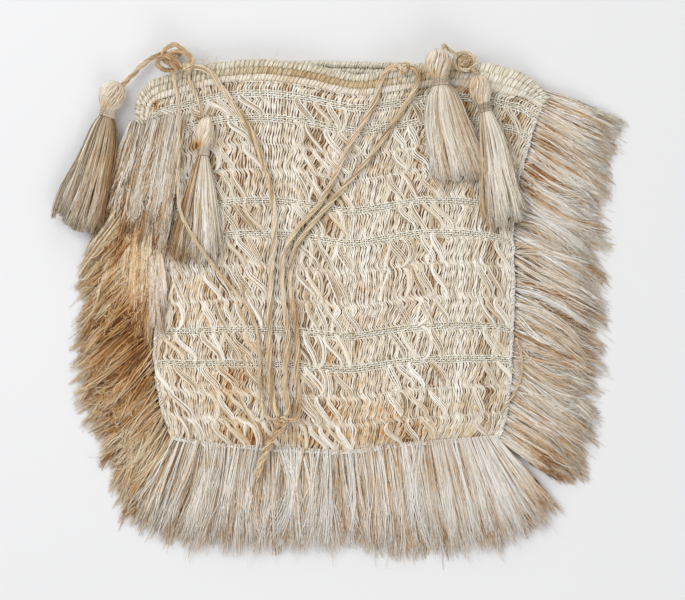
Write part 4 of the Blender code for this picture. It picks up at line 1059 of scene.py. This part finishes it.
def lockLines(basePoint, tipPoint, values, floorAt, count, layer, rng):
    # one layer of fibres, gathered in locks that draw together towards their tips
    steps = values["steps"]
    upper = layer / max(1, values["layers"] - 1)
    at = (np.arange(count) + rng.random(count)) / count
    clumps = max(4, int(count / values["clump"]))
    at = at + values["gather"] * (((at * clumps).astype(int) + 0.5) / clumps - at)
    wisp = (at * count / values["wisp"]).astype(int)
    wisps = wisp.max() + 1
    locks = max(3, int(values["locks"] * rng.uniform(0.85, 1.2)))
    widths = rng.uniform(0.5, 1.5, locks)
    borders = np.concatenate([[0], np.cumsum(widths)]) / widths.sum()
    lock = np.clip(np.searchsorted(borders, at) - 1, 0, locks - 1)
    lock = np.clip(lock + rng.choice([-1, 0, 0, 0, 0, 0, 0, 1], count), 0, locks - 1)
    middle = (borders[lock] + borders[lock + 1]) / 2
    half = (borders[lock + 1] - borders[lock]) / 2
    within = (at - middle) / half
    low, high = values["pull"]
    pull = rng.uniform(low, low + (high - low) * (0.35 + 0.65 * upper), locks)[lock]
    drift = rng.normal(0, 0.55 + 0.5 * upper, locks)[lock] * half * values["spread"]
    # how far each fibre reaches
    long = rng.uniform(*values["length"], locks)[lock]
    shortest = profile(values["shortest"], middle)
    reach = long - (long - shortest) * upper * rng.random(locks)[lock] ** 0.8
    reach = reach * (1 - 0.05 * np.clip(within, -1.5, 1.5) ** 2 - 0.14 * rng.random(count) ** 2)
    reach = np.where(rng.random(count) < values["broken"], reach * rng.uniform(0.5, 0.95, count), reach)
    stray = rng.random(count) < values["strays"]
    reach = np.where(stray, reach * rng.uniform(1.02, 1.12, count), reach)
    # where it runs, sideways and then upwards
    tipAt = middle + (at - middle) * (1 - pull) + drift
    tipAt = tipAt + rng.normal(0, 0.2, count) * half * np.where(stray, 4, 1)
    tipAt = tipAt + rng.normal(0, 0.4, wisps)[wisp] * half
    swirl = rng.normal(0, values["bend"], locks)[lock] * half + rng.normal(0, 0.3, count) * half
    hook = rng.normal(0, 0.6, locks)[lock] * half + rng.normal(0, 0.25, count) * half
    t = np.linspace(0, 1, steps)[None]
    now = at[:, None] + (tipAt - at)[:, None] * t**1.2 + swirl[:, None] * np.sin(math.pi * t) * 0.6
    now = np.clip(now + hook[:, None] * t**3, 0, 1)
    base, tip = basePoint(now), tipPoint(now)
    begun = rng.random((count, 1)) * profile(values["ragged"], at)[:, None] * min(1, 0.3 + layer)
    along = begun + t * (reach[:, None] - begun)
    lines = base + (tip - base) * along[..., None]
    depth = (layer + rng.random(count)[:, None]) / values["layers"]
    crown = 0.66 + 0.34 * np.cos(np.clip(within, -1, 1) * math.pi / 2)[:, None]
    tops = np.interp(along, (0, 0.3, 0.75, 1), values["top"])
    lines[..., 2] = floorAt(lines) + 0.0004 + depth * np.maximum(tops * crown - 0.0008, 0.0002)
    lines[..., 2] -= 0.0012 * (1 - ease(t / 0.3)) * (begun > 0.03) * depth
    lines[..., :2] += wanderIn(2, (count, steps), 5, rng, 0.0009) * t[..., None]
    # its colours, which fade towards the tip. The lower layers and the locks' edges are painted darker and
    # more golden, as painted shade, and the root and the tips are painted lighter, as painted light.
    clump = (at * count / values["clump"]).astype(int)
    group = clump.max() + 1
    shade = rng.normal(0, 0.08, locks)[lock][:, None] + rng.normal(0, 0.07, group)[clump][:, None]
    shade = shade + rng.normal(0, 0.34, wisps)[wisp][:, None]
    tanned = rng.random(group) < values["tanned"]
    tanned = np.where(tanned, rng.uniform(0.1, 0.34, group), rng.uniform(-0.08, 0.04, group))
    edge = np.clip(np.abs(within) + rng.normal(0, 0.12, count), 0, 1)[:, None] ** 4
    # shown sets the painted shade: the lower layers are darker, less so towards the tips
    shown = depth + 0.6 * (0.75 - depth) * t**3
    tone = profile(values["dim"], at)[:, None] + values["light"] + 0.45 * shown + shade
    # 0.14 * t and 0.14 * t**3 make the tips lighter: painted light
    tone = tone + rng.normal(0, 0.14, (count, 1)) + 0.14 * t + 0.14 * t**3
    # rootLight is painted light at the root
    tone = tone + values["rootLight"] * (1 - ease(along / 0.2))
    # deep and edge are painted shade, on the lower layers and between the locks
    deep = values["deepShade"] * (1 - depth) ** 2 * (0.5 + 0.5 * ease(along / 0.25))
    tone = tone - (values["edge"] * edge + deep) * (1 - 0.9 * t**2)
    pale = profile(values["pale"], at)[:, None]
    # the lower layers and the locks' edges are painted more golden: painted shade
    gold = 0.3 * (1 - shown) - pale * t**1.5 + rng.normal(0, 0.07, (count, 1)) + 0.16 * edge
    gold = gold + tanned[clump][:, None] + rng.normal(0.1, 0.22, wisps)[wisp][:, None]
    # the root is painted less golden, part of its painted light
    gold = gold + rng.normal(0, 0.09, locks)[lock][:, None] + goldAt(lines) - 0.14 * (1 - ease(along / 0.16))
    taper = np.interp(t, (0, 0.6, 1), (1.0, 1.0, 0.5)) * rng.uniform(0.7, 1.35, (count, 1))
    return lines, values["radius"] * taper, np.clip(tone, *values["tone"]), gold, at


def fringeLines(basePoint, tipPoint, values, floorAt, rng):
    # the layers of a fringe, in the order in which they run round the hem
    layers = values["layers"]
    made = [lockLines(basePoint, tipPoint, values, floorAt, values["fibres"] // layers, layer, rng)
            for layer in range(layers)]
    parts = [np.concatenate(column) for column in zip(*made)]
    order = np.argsort(parts[-1], kind="stable")
    return [part[order] for part in parts]


def runPoints(controls, inset):
    # the base and the tip of a fringe at each share of its run
    sides = {"left": leftLine, "bottom": bottomLine, "right": rightFringeLine}
    inner = {side: line + leftOf(line) * inset for side, line in sides.items()}
    wanted = np.arange(spanSteps) / spanSteps
    bases = []
    for (side, share, _, _), (nextSide, nextShare, _, _) in zip(controls, controls[1:]):
        end = nextShare if nextSide == side else 1
        bases.append(pointAt(inner[side], share + (end - share) * wanted))
    bases.append(pointAt(inner[controls[-1][0]], np.array([controls[-1][1]])))
    baseLine = np.concatenate(bases)
    tipLine = spanCurve([place(x, y) for _, _, x, y in controls])
    known = np.linspace(0, 1, len(tipLine))
    return lambda at: sampled(at, known, baseLine), lambda at: sampled(at, known, tipLine)


def addFringe(name, parts, chosen, finish, moves, slot, *nodes):
    lines, radius, tone, gold = [part[chosen] for part in parts[:4]]
    made = strands(name, finish, lines, radius, 3, 1, up, tone, gold, fibreGrain)
    assign(made, moves, slot, *nodes)


# how much of its height the bottom fringe keeps under the handles' loose end, at places down the bag
tailDip = ((0.118, 0.1228, 0.1312, 0.1345, 0.141), (1.0, 0.86, 0.66, 0.66, 1.0))


def tailRoom(lines):
    # the fringe is pressed down where that end dips as the mouth opens
    route = np.array(handleRoutes["handleTail"])
    down = -lines[..., 1]
    aside = np.abs(lines[..., 0] - np.interp(down, -route[:, 1], route[:, 0]))
    return 1 - (1 - np.interp(down, *tailDip)) * ease((0.008 - aside) / 0.004)


def makeFringe(run, seed):
    values = fringe[run]
    corner = 5 / 11  # five of the left run's eleven spans lie above the bottom corner

    def floorAt(points):
        # the bottom fringe lies on the back wall's layer
        return 0.0018 * ease((points[..., 0] + 0.10) / 0.02) if run == "left" else 0.0

    basePoint, tipPoint = runPoints(fringeTips[run], values["inset"])
    parts = fringeLines(basePoint, tipPoint, values, floorAt, np.random.default_rng(seed))
    parts[0][..., 2] *= tailRoom(parts[0])
    at = parts[-1]
    sides = {run: at >= 0}
    if run == "left":
        sides = {"left": at < corner, "bottom": at >= corner}
    for side, chosen in sides.items():
        gold = "golden" if side == "left" else "cream"
        chosen = np.flatnonzero(chosen)
        for part, some in enumerate(np.array_split(chosen, math.ceil(len(chosen) / mostFibres))):
            addFringe(f"fringe{side.capitalize()}{part + 1}", parts, some, gold + "Fringe", "back",
                      gold + "_fringe", *fringeNodes[side])
    print(f"fringe, {run}: {len(at)} fibres")


# what falls over the left edge: where it starts and ends, how it lies, and what it belongs to
fallBasis = {**lockBasis, "layers": 4, "radius": 0.00024, "pull": (0.1, 0.8), "spread": 1.3, "edge": 0.3,
             "slot": "golden_fringe"}
falls = {
    "fringeInnerLayer": {
        **fallBasis, "shares": [(-0.556, 0.366), (-0.4, 0.38), (-0.668, 0.03), (-0.462, -0.005)],
        "fibres": 3960, "locks": 22, "bend": 1.6, "length": (0.8, 1.06), "shortest": ((0.0, 1.0), (0.3, 0.4)),
        "top": (0.002, 0.0036, 0.0034, 0.002), "ragged": 0.75, "edge": 0.2, "above": 0.0, "light": 0.26,
        "pale": -0.26, "stain": -0.08, "finish": "creamFringe", "moves": "leftBend",
        "node": "fringe_inner_layer"},
    "fringeLeftFall": {
        **fallBasis, "shares": [(-0.57, 0.17), (-0.488, 0.18), (-0.665, -0.17), (-0.497, -0.23)],
        "fibres": 3600, "locks": 18, "bend": 1.4, "length": (0.8, 1.08),
        "shortest": ((0.0, 1.0), (0.45, 0.5)), "top": (0.0002, 0.0022, 0.002, 0.0006), "ragged": 0.7,
        "above": -0.0008, "light": 0.46, "pale": 0.12, "stain": -0.06, "finish": "goldenFringe",
        "moves": "back", "node": "fringe_left_1"},
    "fringeLeftRibbon": {
        **fallBasis, "shares": [(-0.508, 0.13), (-0.476, 0.12), (-0.5, -0.17), (-0.446, -0.21)],
        "fibres": 1100, "locks": 5, "layers": 2, "radius": 0.00021, "pull": (0.0, 0.5), "bend": 1.3,
        "spread": 1.4, "length": (0.7, 1.1), "shortest": 0.5, "top": (0.0001, 0.0012, 0.0012, 0.0003),
        "clump": 10, "ragged": 0.62, "above": -0.0002, "light": 0.66, "pale": 0.1, "stain": -0.02,
        "finish": "creamFringe", "moves": "leftBend", "node": "side_seam_left", "slot": "cream_fringe"},
}


def makeFall(name, values, seed):
    nearLeft, nearRight, farLeft, farRight = places(values["shares"])

    def under(points):
        # the fringe, then the hem, then the wall that rises beside it
        x = points[..., 0]
        outside = -0.0012 * ease((-0.112 - x) / 0.006) - 0.0025 * ease((-0.122 - x) / 0.012)
        hem = hemTop + bag["wall"]
        return values["above"] + outside + hem + (wallTop - hem) * ease((x + 0.118) / 0.026)

    parts = fringeLines(lambda at: nearLeft + (nearRight - nearLeft) * at[..., None],
                        lambda at: farLeft + (farRight - farLeft) * at[..., None],
                        values, under, np.random.default_rng(seed))
    parts[3] = parts[3] + values["stain"]
    addFringe(name, parts, slice(None), values["finish"], values["moves"], values["slot"], values["node"])


for number, run in enumerate(fringe):
    makeFringe(run, 81 + number)
for number, (name, values) in enumerate(falls.items()):
    makeFall(name, values, 91 + number)
print("falls over the left edge: three")


# Knots and rosette

knots = {"strandShare": 0.3, "full": 1.22, "rise": 2.1, "squash": 0.8, "thick": 0.82, "twist": 0.008,
         "flat": 0.9, "sway": 0.08, "stemWidth": 0.0028, "stemDown": (0.006, 0.0132)}
# each knot's name, node, body and stain
knotParts = {"left": ("knotLeft", "rim_knot_left", "front", 0.25),
             "right": ("knotRight", "rim_knot_right", "front", 0.35),
             "back": ("knotBack", "back_knot", "back", 0.2),
             "tie": ("knotTie", "handle_tie_knot", "handles", 0.4)}


def knotPath(centre, radius, turn):
    # a trefoil
    t = np.linspace(0, 2 * math.pi, 90) + turn
    x = np.sin(t) + 2 * np.sin(2 * t)
    y = np.cos(t) - 2 * np.cos(2 * t)
    z = -np.sin(3 * t)
    scale = radius * (1 - knots["strandShare"]) / 3
    return centre + np.column_stack([x * scale, y * scale, z * scale * knots["rise"] * knots["squash"]])


def makeKnot(key, seed):
    name, node, body, stain = knotParts[key]
    rng = np.random.default_rng(seed)
    radius = knotSizes[key] * knots["full"]
    path = knotPath(knotPlaces[key], radius, seed)
    path = path + wanderIn(3, (len(path),), 7, rng, radius * knots["sway"])
    made = cordMesh(name, path, radius * knots["thick"], knots["twist"], "knot", 3, 5, stain, seed,
                    knots["flat"])
    if key == "back":
        stem = smoothCurve([knotPlaces[key] - (0, down, 0) for down in (0, *knots["stemDown"])], 20)
        cord = cordMesh("backStem", stem, knots["stemWidth"], 0.006, "knot", 2, 3, 0.2, 6)
        made = joined(name, [made, cord])
    assign(made, body, "knot_cord", node)


def makeRosette():
    # a loop of twisted cord round a curl of threads, sewn to the rim
    t = np.linspace(0, 2 * math.pi, 100)
    ring = [0.0063 * np.cos(t), 0.0053 * np.sin(t), 0.0006 * np.sin(3 * t) - 0.0002]
    spiral = np.linspace(0, 5 * math.pi, 120)
    size = 0.0036 * (1 - spiral / spiral[-1]) + 0.0004
    curl = [size * np.cos(spiral), size * 0.85 * np.sin(spiral), 0.0006 * np.sin(5 * spiral) + 0.0004]
    under = [0.0042 * np.cos(t), 0.0036 * np.sin(t), np.full(100, -0.0013)]
    # each cord's path, width, twist, plies, strands in a ply, stain and seed
    cords = [(ring, 0.003, 0.012, 3, 6, 0.1, 3), (curl, 0.0017, 0.006, 2, 4, 0.4, 4),
             (under, 0.0024, 0.008, 2, 4, 0.5, 5)]
    centre = knotPlaces["rosette"]
    made = [cordMesh("rosetteCord", centre + np.column_stack(path), width, twist, "knot", *others)
            for path, width, twist, *others in cords]
    assign(joined("rosette", made), "front", "rim_whipping", "rosette_knot")


# the cords' turns over the rim beside the left knot, in pixels of the photograph
loops = {"width": 0.0036, "twist": 0.022, "above": 0.0176, "step": 0.0012, "sway": (-0.0008, 0.0012)}
loopRoutes = [
    [(188, 70), (190, 60), (184, 51), (175, 46), (167, 50), (164, 58), (170, 65), (180, 69)],
    [(186, 72), (193, 66), (190, 56), (180, 53), (172, 56), (171, 64), (179, 71)],
    [(182, 70), (176, 62), (168, 58), (161, 60), (159, 67), (165, 71), (175, 73)],
]


def makeLoops():
    rng = np.random.default_rng(7)
    made = []
    for number, route in enumerate(loopRoutes):
        points = [fromPhoto(x, y, loops["above"] + loops["step"] * number + rng.uniform(*loops["sway"]))
                  for x, y in route]
        made.append(cordMesh(f"loop{number}", smoothCurve(points, 90), loops["width"], loops["twist"],
                             "knot", 3, 6, 0.5 + 0.08 * number, 20 + number, 0.8))
    assign(joined("knotLoops", made), "front", "knot_cord", "rim_knot_left")


strays = {"count": 90, "radius": 0.00008, "long": (0.004, 0.013), "steps": 12, "from": (0, 0.0035, 0.0145)}
strayKnots = ((0, 26, 0.2, 0.025), (26, 40, 0.76, 0.03))  # which stand by a knot, where, and how far off


def makeStrays():
    # fine curled fibres that stand off the rim and its knots
    rng = np.random.default_rng(17)
    count, steps = strays["count"], strays["steps"]
    share = rng.uniform(0.16, 0.84, count)
    for first, last, middle, off in strayKnots:
        share[first:last] = rng.normal(middle, off, last - first)
    start = pointAt(frontRimLine, share) + np.array(strays["from"])
    heading = rng.normal(math.pi / 2, 0.8, (count, 1))
    heading = heading + np.cumsum(wander((count, steps), 3, rng, 0.28), axis=1)
    stride = rng.uniform(*strays["long"], (count, 1)) / steps
    lines = np.repeat(start[:, None], steps, axis=1)
    lines[..., 0] += np.cumsum(np.cos(heading) * stride, axis=1)
    lines[..., 1] += np.cumsum(np.sin(heading) * stride, axis=1)
    lines[..., 2] += 0.001 + wander((count, steps), 3, rng, 0.0012)
    made = strands("rimHairs", "knot", lines, strays["radius"] * rng.uniform(0.8, 1.5, (count, 1)), 3, 1, up,
                   rng.uniform(0.6, 1.0, (count, 1)), rng.uniform(0.0, 0.3, (count, 1)))
    assign(made, "front", "knot_cord")


# a loose thread that lies in a curve beside the right hem
seamThread = {"width": 0.0017, "twist": 0.012, "above": 0.0034,
              "route": [(516, 338), (521, 352), (522, 370), (517, 388), (509, 402), (501, 413)]}


def makeSeamThread():
    path = smoothCurve([fromPhoto(x, y) for x, y in seamThread["route"]], 60)
    path[:, 2] = wallLift(path) + seamThread["above"]
    made = cordMesh("seamThread", path, seamThread["width"], seamThread["twist"], "knot", 2, 4, 0.3, 31, 0.8)
    assign(made, "rightBend", "knot_cord")
    round(lengthOf(path), 4)
    print(f"seamThread: {lengthOf(path):.4f} m long")


for number, key in enumerate(knotParts):
    makeKnot(key, number + 1)
makeRosette()
makeLoops()
makeStrays()
makeSeamThread()
print("knots: four, the rosette, loops and stray fibres")


# Tassels

tasselCords = {
    "tassel_outer": [(-0.1032, 0.1248, 0.0044), (-0.1098, 0.1218, 0.0052), (-0.117, 0.1164, 0.0066),
                     (-0.123, 0.1098, 0.008)],
    "tassel_inner": [(-0.0872, 0.1084, 0.0176), (-0.0852, 0.103, 0.0174), (-0.0828, 0.0972, 0.018),
                     (-0.0798, 0.0908, 0.0192)],
    "tassel_rim": [(0.069, 0.1244, 0.0196), (0.0648, 0.1275, 0.022)],
    "tassel_last": [(0.0834, 0.1116, 0.0196)],
}
skirtThick = 0.006
# what every tassel shares, unless it says otherwise. The profile is that of half the head's section:
# shares of its half length and of its half width.
tasselBasis = {
    "headProfile": [(-1, 0.2), (-0.92, 0.46), (-0.68, 0.78), (-0.3, 0.97), (0.1, 1), (0.5, 0.9), (0.82, 0.7),
                    (1, 0.58)],
    "headStrands": 96, "headRadius": 0.00036, "neck": 0.0052, "thread": 0.0009, "threadTurns": 4,
    "cord": 0.0028, "full": 0.33, "drop": 0.62, "skirtRadius": 0.00022, "locks": 14, "strips": 101,
    "base": rimTop, "endZ": wallTop + skirtThick / 2 + bag["gap"],
}
tassels = {
    "tassel_outer": {**tasselBasis, "knot": "back", "cord": 0.0036, "head": (-0.603, 0.429), "wide": 0.0082,
                     "long": 0.0084, "base": bag["gap"], "end": (-0.69, 0.075), "endZ": 0.0098,
                     "endWidth": 0.034, "strands": 1600, "sweep": -0.003, "flare": 0.55, "gold": 0.12,
                     "tanSide": 0.3, "shade": -0.46},
    "tassel_inner": {**tasselBasis, "knot": "left", "head": (-0.349, 0.33), "wide": 0.0054, "long": 0.0088,
                     "base": wallTop, "end": (-0.376, -0.01), "endWidth": 0.038, "strands": 1500,
                     "sweep": 0.0, "flare": 0.85, "gold": 0.1, "tanSide": -0.4, "shade": -0.26},
    "tassel_rim": {**tasselBasis, "knot": "rosette", "head": (0.276, 0.506), "wide": 0.008, "long": 0.0082,
                   "end": (0.322, 0.196), "endWidth": 0.038, "strands": 1700, "sweep": 0.005, "flare": 0.5,
                   "gold": 0.06, "tanSide": 0.1, "shade": -0.08},
    "tassel_last": {**tasselBasis, "knot": "rosette", "head": (0.389, 0.439), "wide": 0.0064, "long": 0.0084,
                    "end": (0.476, 0.088), "endWidth": 0.03, "strands": 1400, "threadTurns": 5,
                    "sweep": -0.003, "flare": 0.75, "gold": 0.08, "tanSide": -0.25, "shade": -0.12},
}
shortestCord = 0.0273  # the length that a tassel's cord is compared with


def roundWays(axis, angle):
    # the directions at these angles round a level axis
    return np.cos(angle)[..., None] * np.array([-axis[1], axis[0], 0.0]) + np.sin(angle)[..., None] * up


def makeHead(name, centre, axis, values, rng):
    # fibres folded over the cord's end and drawn in to the neck
    profileAt, profileSize = np.array(values["headProfile"]).T
    stations = np.concatenate([np.linspace(-1, 1, 15), [1 + values["neck"] / values["long"]]])
    sizes = np.interp(stations, profileAt, profileSize) * values["wide"] - values["headRadius"] * 0.7
    number = values["headStrands"]
    turn = (np.arange(number) + rng.uniform(-0.3, 0.3, number)) / number * 2 * math.pi
    turn = turn[:, None] + 0.5 * stations[None] + wander((number, len(stations)), 4, rng, 0.05)
    puff = 1 + wander((number, len(stations)), 5, rng, 0.02)
    ways = roundWays(axis, turn)
    core = centre + axis * (stations * values["long"])[:, None]
    lines = core + ways * (sizes[None] * puff)[..., None]
    tone = rng.uniform(0.4, 1.0, (number, 1))
    low = ease((stations[None] - 0.1) / 0.9) * ease(0.5 - np.cos(turn))
    gold = values["gold"] + rng.normal(0.08, 0.13, (number, 1)) + goldAt(lines, 0.5) + 0.3 * low
    hairs = strands(f"{name}Hairs", "head", lines, values["headRadius"], 4, 0.8, ways, tone, gold)
    # the ball inside is given a low tone: painted shade where it shows between the hairs
    inside = strands(f"{name}Ball", "head", core[None], (sizes * 0.93)[None], 20, 1, up, 0.3, 0.35)
    return joined(name, [hairs, inside]), sizes[-1]


def makeWhipping(name, neck, axis, radius, values, rng):
    turns, thread = values["threadTurns"], values["thread"]
    share = np.linspace(0, turns, turns * 20 + 1)
    ways = roundWays(axis, share * 2 * math.pi)
    run = 0.0004 + share * (values["neck"] / (turns + 0.6))
    path = neck + axis * run[:, None] + ways * (radius + thread / 2)
    lines, offs = plies(path, 2, thread * 0.24, 0.0022, 0.0, ways)
    return strands(name, "thread", lines, thread * 0.3, 5, 1, offs, rng.uniform(0.9, 1.15, (2, 1)), 0.34,
                   threadGrain)


def makeSkirt(name, start, end, narrow, values, rng):
    # loose fibres in locks, which fan out flat and end unevenly
    axis = (end - start) * level
    long = np.linalg.norm(axis)
    axis = axis / long
    number, locks, strips, steps = values["strands"], values["locks"], values["strips"], 12
    t = np.linspace(0, 1, steps)[None]
    fill = np.sqrt(rng.uniform(0.05, 1, number))[:, None]
    turn = rng.uniform(0, 2 * math.pi, number)
    sideways, rise = np.cos(turn)[:, None] * fill, np.sin(turn)[:, None] * fill
    lock = np.clip(((sideways[:, 0] + 1) / 2 * locks).astype(int), 0, locks - 1)
    middle = ((lock + 0.5) / locks * 2 - 1)[:, None]
    pull = rng.uniform(0.1, 0.7, locks)[lock][:, None]
    sideTip = middle + (sideways - middle) * (1 - pull) + rng.normal(0, 0.05, (number, 1))
    reach = rng.uniform(0.92, 1.02, locks)[lock][:, None] * (1 - 0.1 * rng.random((number, 1)) ** 2)
    reach = np.where(rng.random((number, 1)) < 0.1, reach * rng.uniform(0.7, 0.95, (number, 1)), reach)
    reach = reach * (1 - 0.06 * sideways**2)
    run = t * reach
    half = narrow + (values["endWidth"] / 2 - narrow) * run ** values["flare"]
    thick = narrow + (skirtThick / 2 - narrow) * ease(run / values["full"])
    lateral = (sideways + (sideTip - sideways) * t**1.5) * half * 0.97
    bow = rng.normal(0, 0.0012, locks)[lock][:, None] + rng.normal(0, 0.0005, (number, 1))
    lateral = lateral + wander((number, steps), 5, rng, 0.0005) * t + values["sweep"] * run**2
    lateral = lateral + bow * np.sin(2 * math.pi * t) * t
    across = np.array([-axis[1], axis[0], 0.0])
    lines = start * level + axis * (run * long)[..., None] + across * lateral[..., None]
    centre = start[2] + (end[2] - start[2]) * ease(run / values["drop"])
    lines[..., 2] = centre + rise * (thick - 0.0003)
    depth = (rise + 1) / 2
    strip = ((sideways[:, 0] + 1) * (strips // 2)).astype(int)
    # fibres lower in the skirt are painted darker: painted shade under the upper ones
    tone = values["shade"] + 0.34 + 0.5 * depth + rng.normal(0, 0.18, (number, 1))
    tone = tone + rng.normal(0, 0.07, locks)[lock][:, None]
    tone = tone + rng.normal(0, 0.18, strips)[strip][:, None] + 0.1 * t
    # lower fibres are also painted more golden: painted shade
    gold = values["gold"] + 0.2 * (1 - depth) + rng.normal(0.0, 0.08, (number, 1))
    gold = gold + values["tanSide"] * sideways
    gold = gold + rng.normal(0, 0.14, strips)[strip][:, None] + rng.normal(0, 0.08, locks)[lock][:, None]
    gold = gold + goldAt(lines, 0.5)
    taper = np.interp(t, (0, 0.7, 1), (1, 1, 0.5)) * rng.uniform(0.8, 1.25, (number, 1))
    return strands(name, "skirt", lines, values["skirtRadius"] * taper, 3, 1, up, tone, gold, fibreGrain)


def onHead(centre, axis, values, toward):
    # the point of the head's outside that faces another point
    way = unit(np.array(toward) - centre)
    forward = way @ axis
    reach = 1 / math.sqrt((forward / values["long"]) ** 2 + (1 - forward**2) / values["wide"] ** 2)
    return centre + way * (reach + bag["gap"])


def makeTassel(key, seed):
    values = tassels[key]
    rng = np.random.default_rng(seed)
    name = "tassel" + key.split("_")[1].capitalize()
    centre = place(*values["head"], values["base"] + values["wide"])
    end = place(*values["end"], values["endZ"])
    axis = unit((end - centre) * level)
    head, neckRadius = makeHead(f"{name}Head", centre, axis, values, rng)
    neck = centre + axis * values["long"]
    whipping = makeWhipping(f"{name}Whipping", neck, axis, neckRadius, values, rng)
    start = neck + axis * (values["neck"] + bag["gap"])
    skirt = makeSkirt(f"{name}Skirt", start, end, neckRadius * 1.1, values, rng)
    route = tasselCords[key]
    last = onHead(centre, axis, values, route[-1])
    path = smoothCurve([beside(values["knot"], route[0]), *route, last], 60)
    cord = cordMesh(f"{name}Cord", path, values["cord"], values["cord"] * 7, "cord", 3, 6, 0.4, seed, 0.85)
    print(f"{name}: cord {lengthOf(path):.4f} m long")
    assign(head, key, "tassel_head_fibre", f"{key}_head")
    assign(whipping, key, "tassel_thread", f"{key}_whipping")
    assign(skirt, key, "tassel_skirt_fibre", f"{key}_skirt")
    assign(cord, key, "handle_cord", f"{key}_cord")
    if lengthOf(path) >= shortestCord:
        max(0.03, round(lengthOf(path), 4))


for number, key in enumerate(tassels):
    makeTassel(key, 101 + number)
print("tassels: four")


# Floor and lights

floor = {"colour": (222, 223, 225), "roughness": 0.9, "top": -0.0003,
         "corners": ((-3, -3), (3, -3), (3, 3), (-3, 3))}
room = {"colour": (1.0, 0.985, 0.965, 1), "strength": 0.53}
# each lamp's power in watts, its width, and its place, from which it shines at the origin
lamps = {"keyLamp": (13.5, 1.0, (-0.66, 0.5, 1.3)), "fillLamp": (7, 1.0, (0.35, -1.05, 1.15)),
         "rimLamp": (3, 0.9, (0.3, 1.3, 0.7))}


def makeFloor():
    shader = Shader("floorPaper")
    plain = shader.finish(Base_Color=toLinear(floor["colour"]), Roughness=floor["roughness"])
    mesh = bpy.data.meshes.new("floor")
    mesh.from_pydata([(x, y, floor["top"]) for x, y in floor["corners"]], [], [(0, 1, 2, 3)])
    mesh.materials.append(plain)
    linked("floor", mesh)


def makeLamp(name, power, width, at):
    data = bpy.data.lights.new(name, "AREA")
    data.energy = power
    data.size = width
    made = linked(name, data)
    made.location = at
    made.rotation_euler = Vector(at).to_track_quat("Z", "Y").to_euler()


makeFloor()
for name, values in lamps.items():
    makeLamp(name, *values)
world = bpy.data.worlds.new("paleRoom")
world.use_nodes = True
background = world.node_tree.nodes["Background"].inputs
background["Color"].default_value = room["colour"]
background["Strength"].default_value = room["strength"]
bpy.context.scene.world = world
bpy.context.scene.view_settings.view_transform = "Standard"
print("studio: floor, lamps and world")
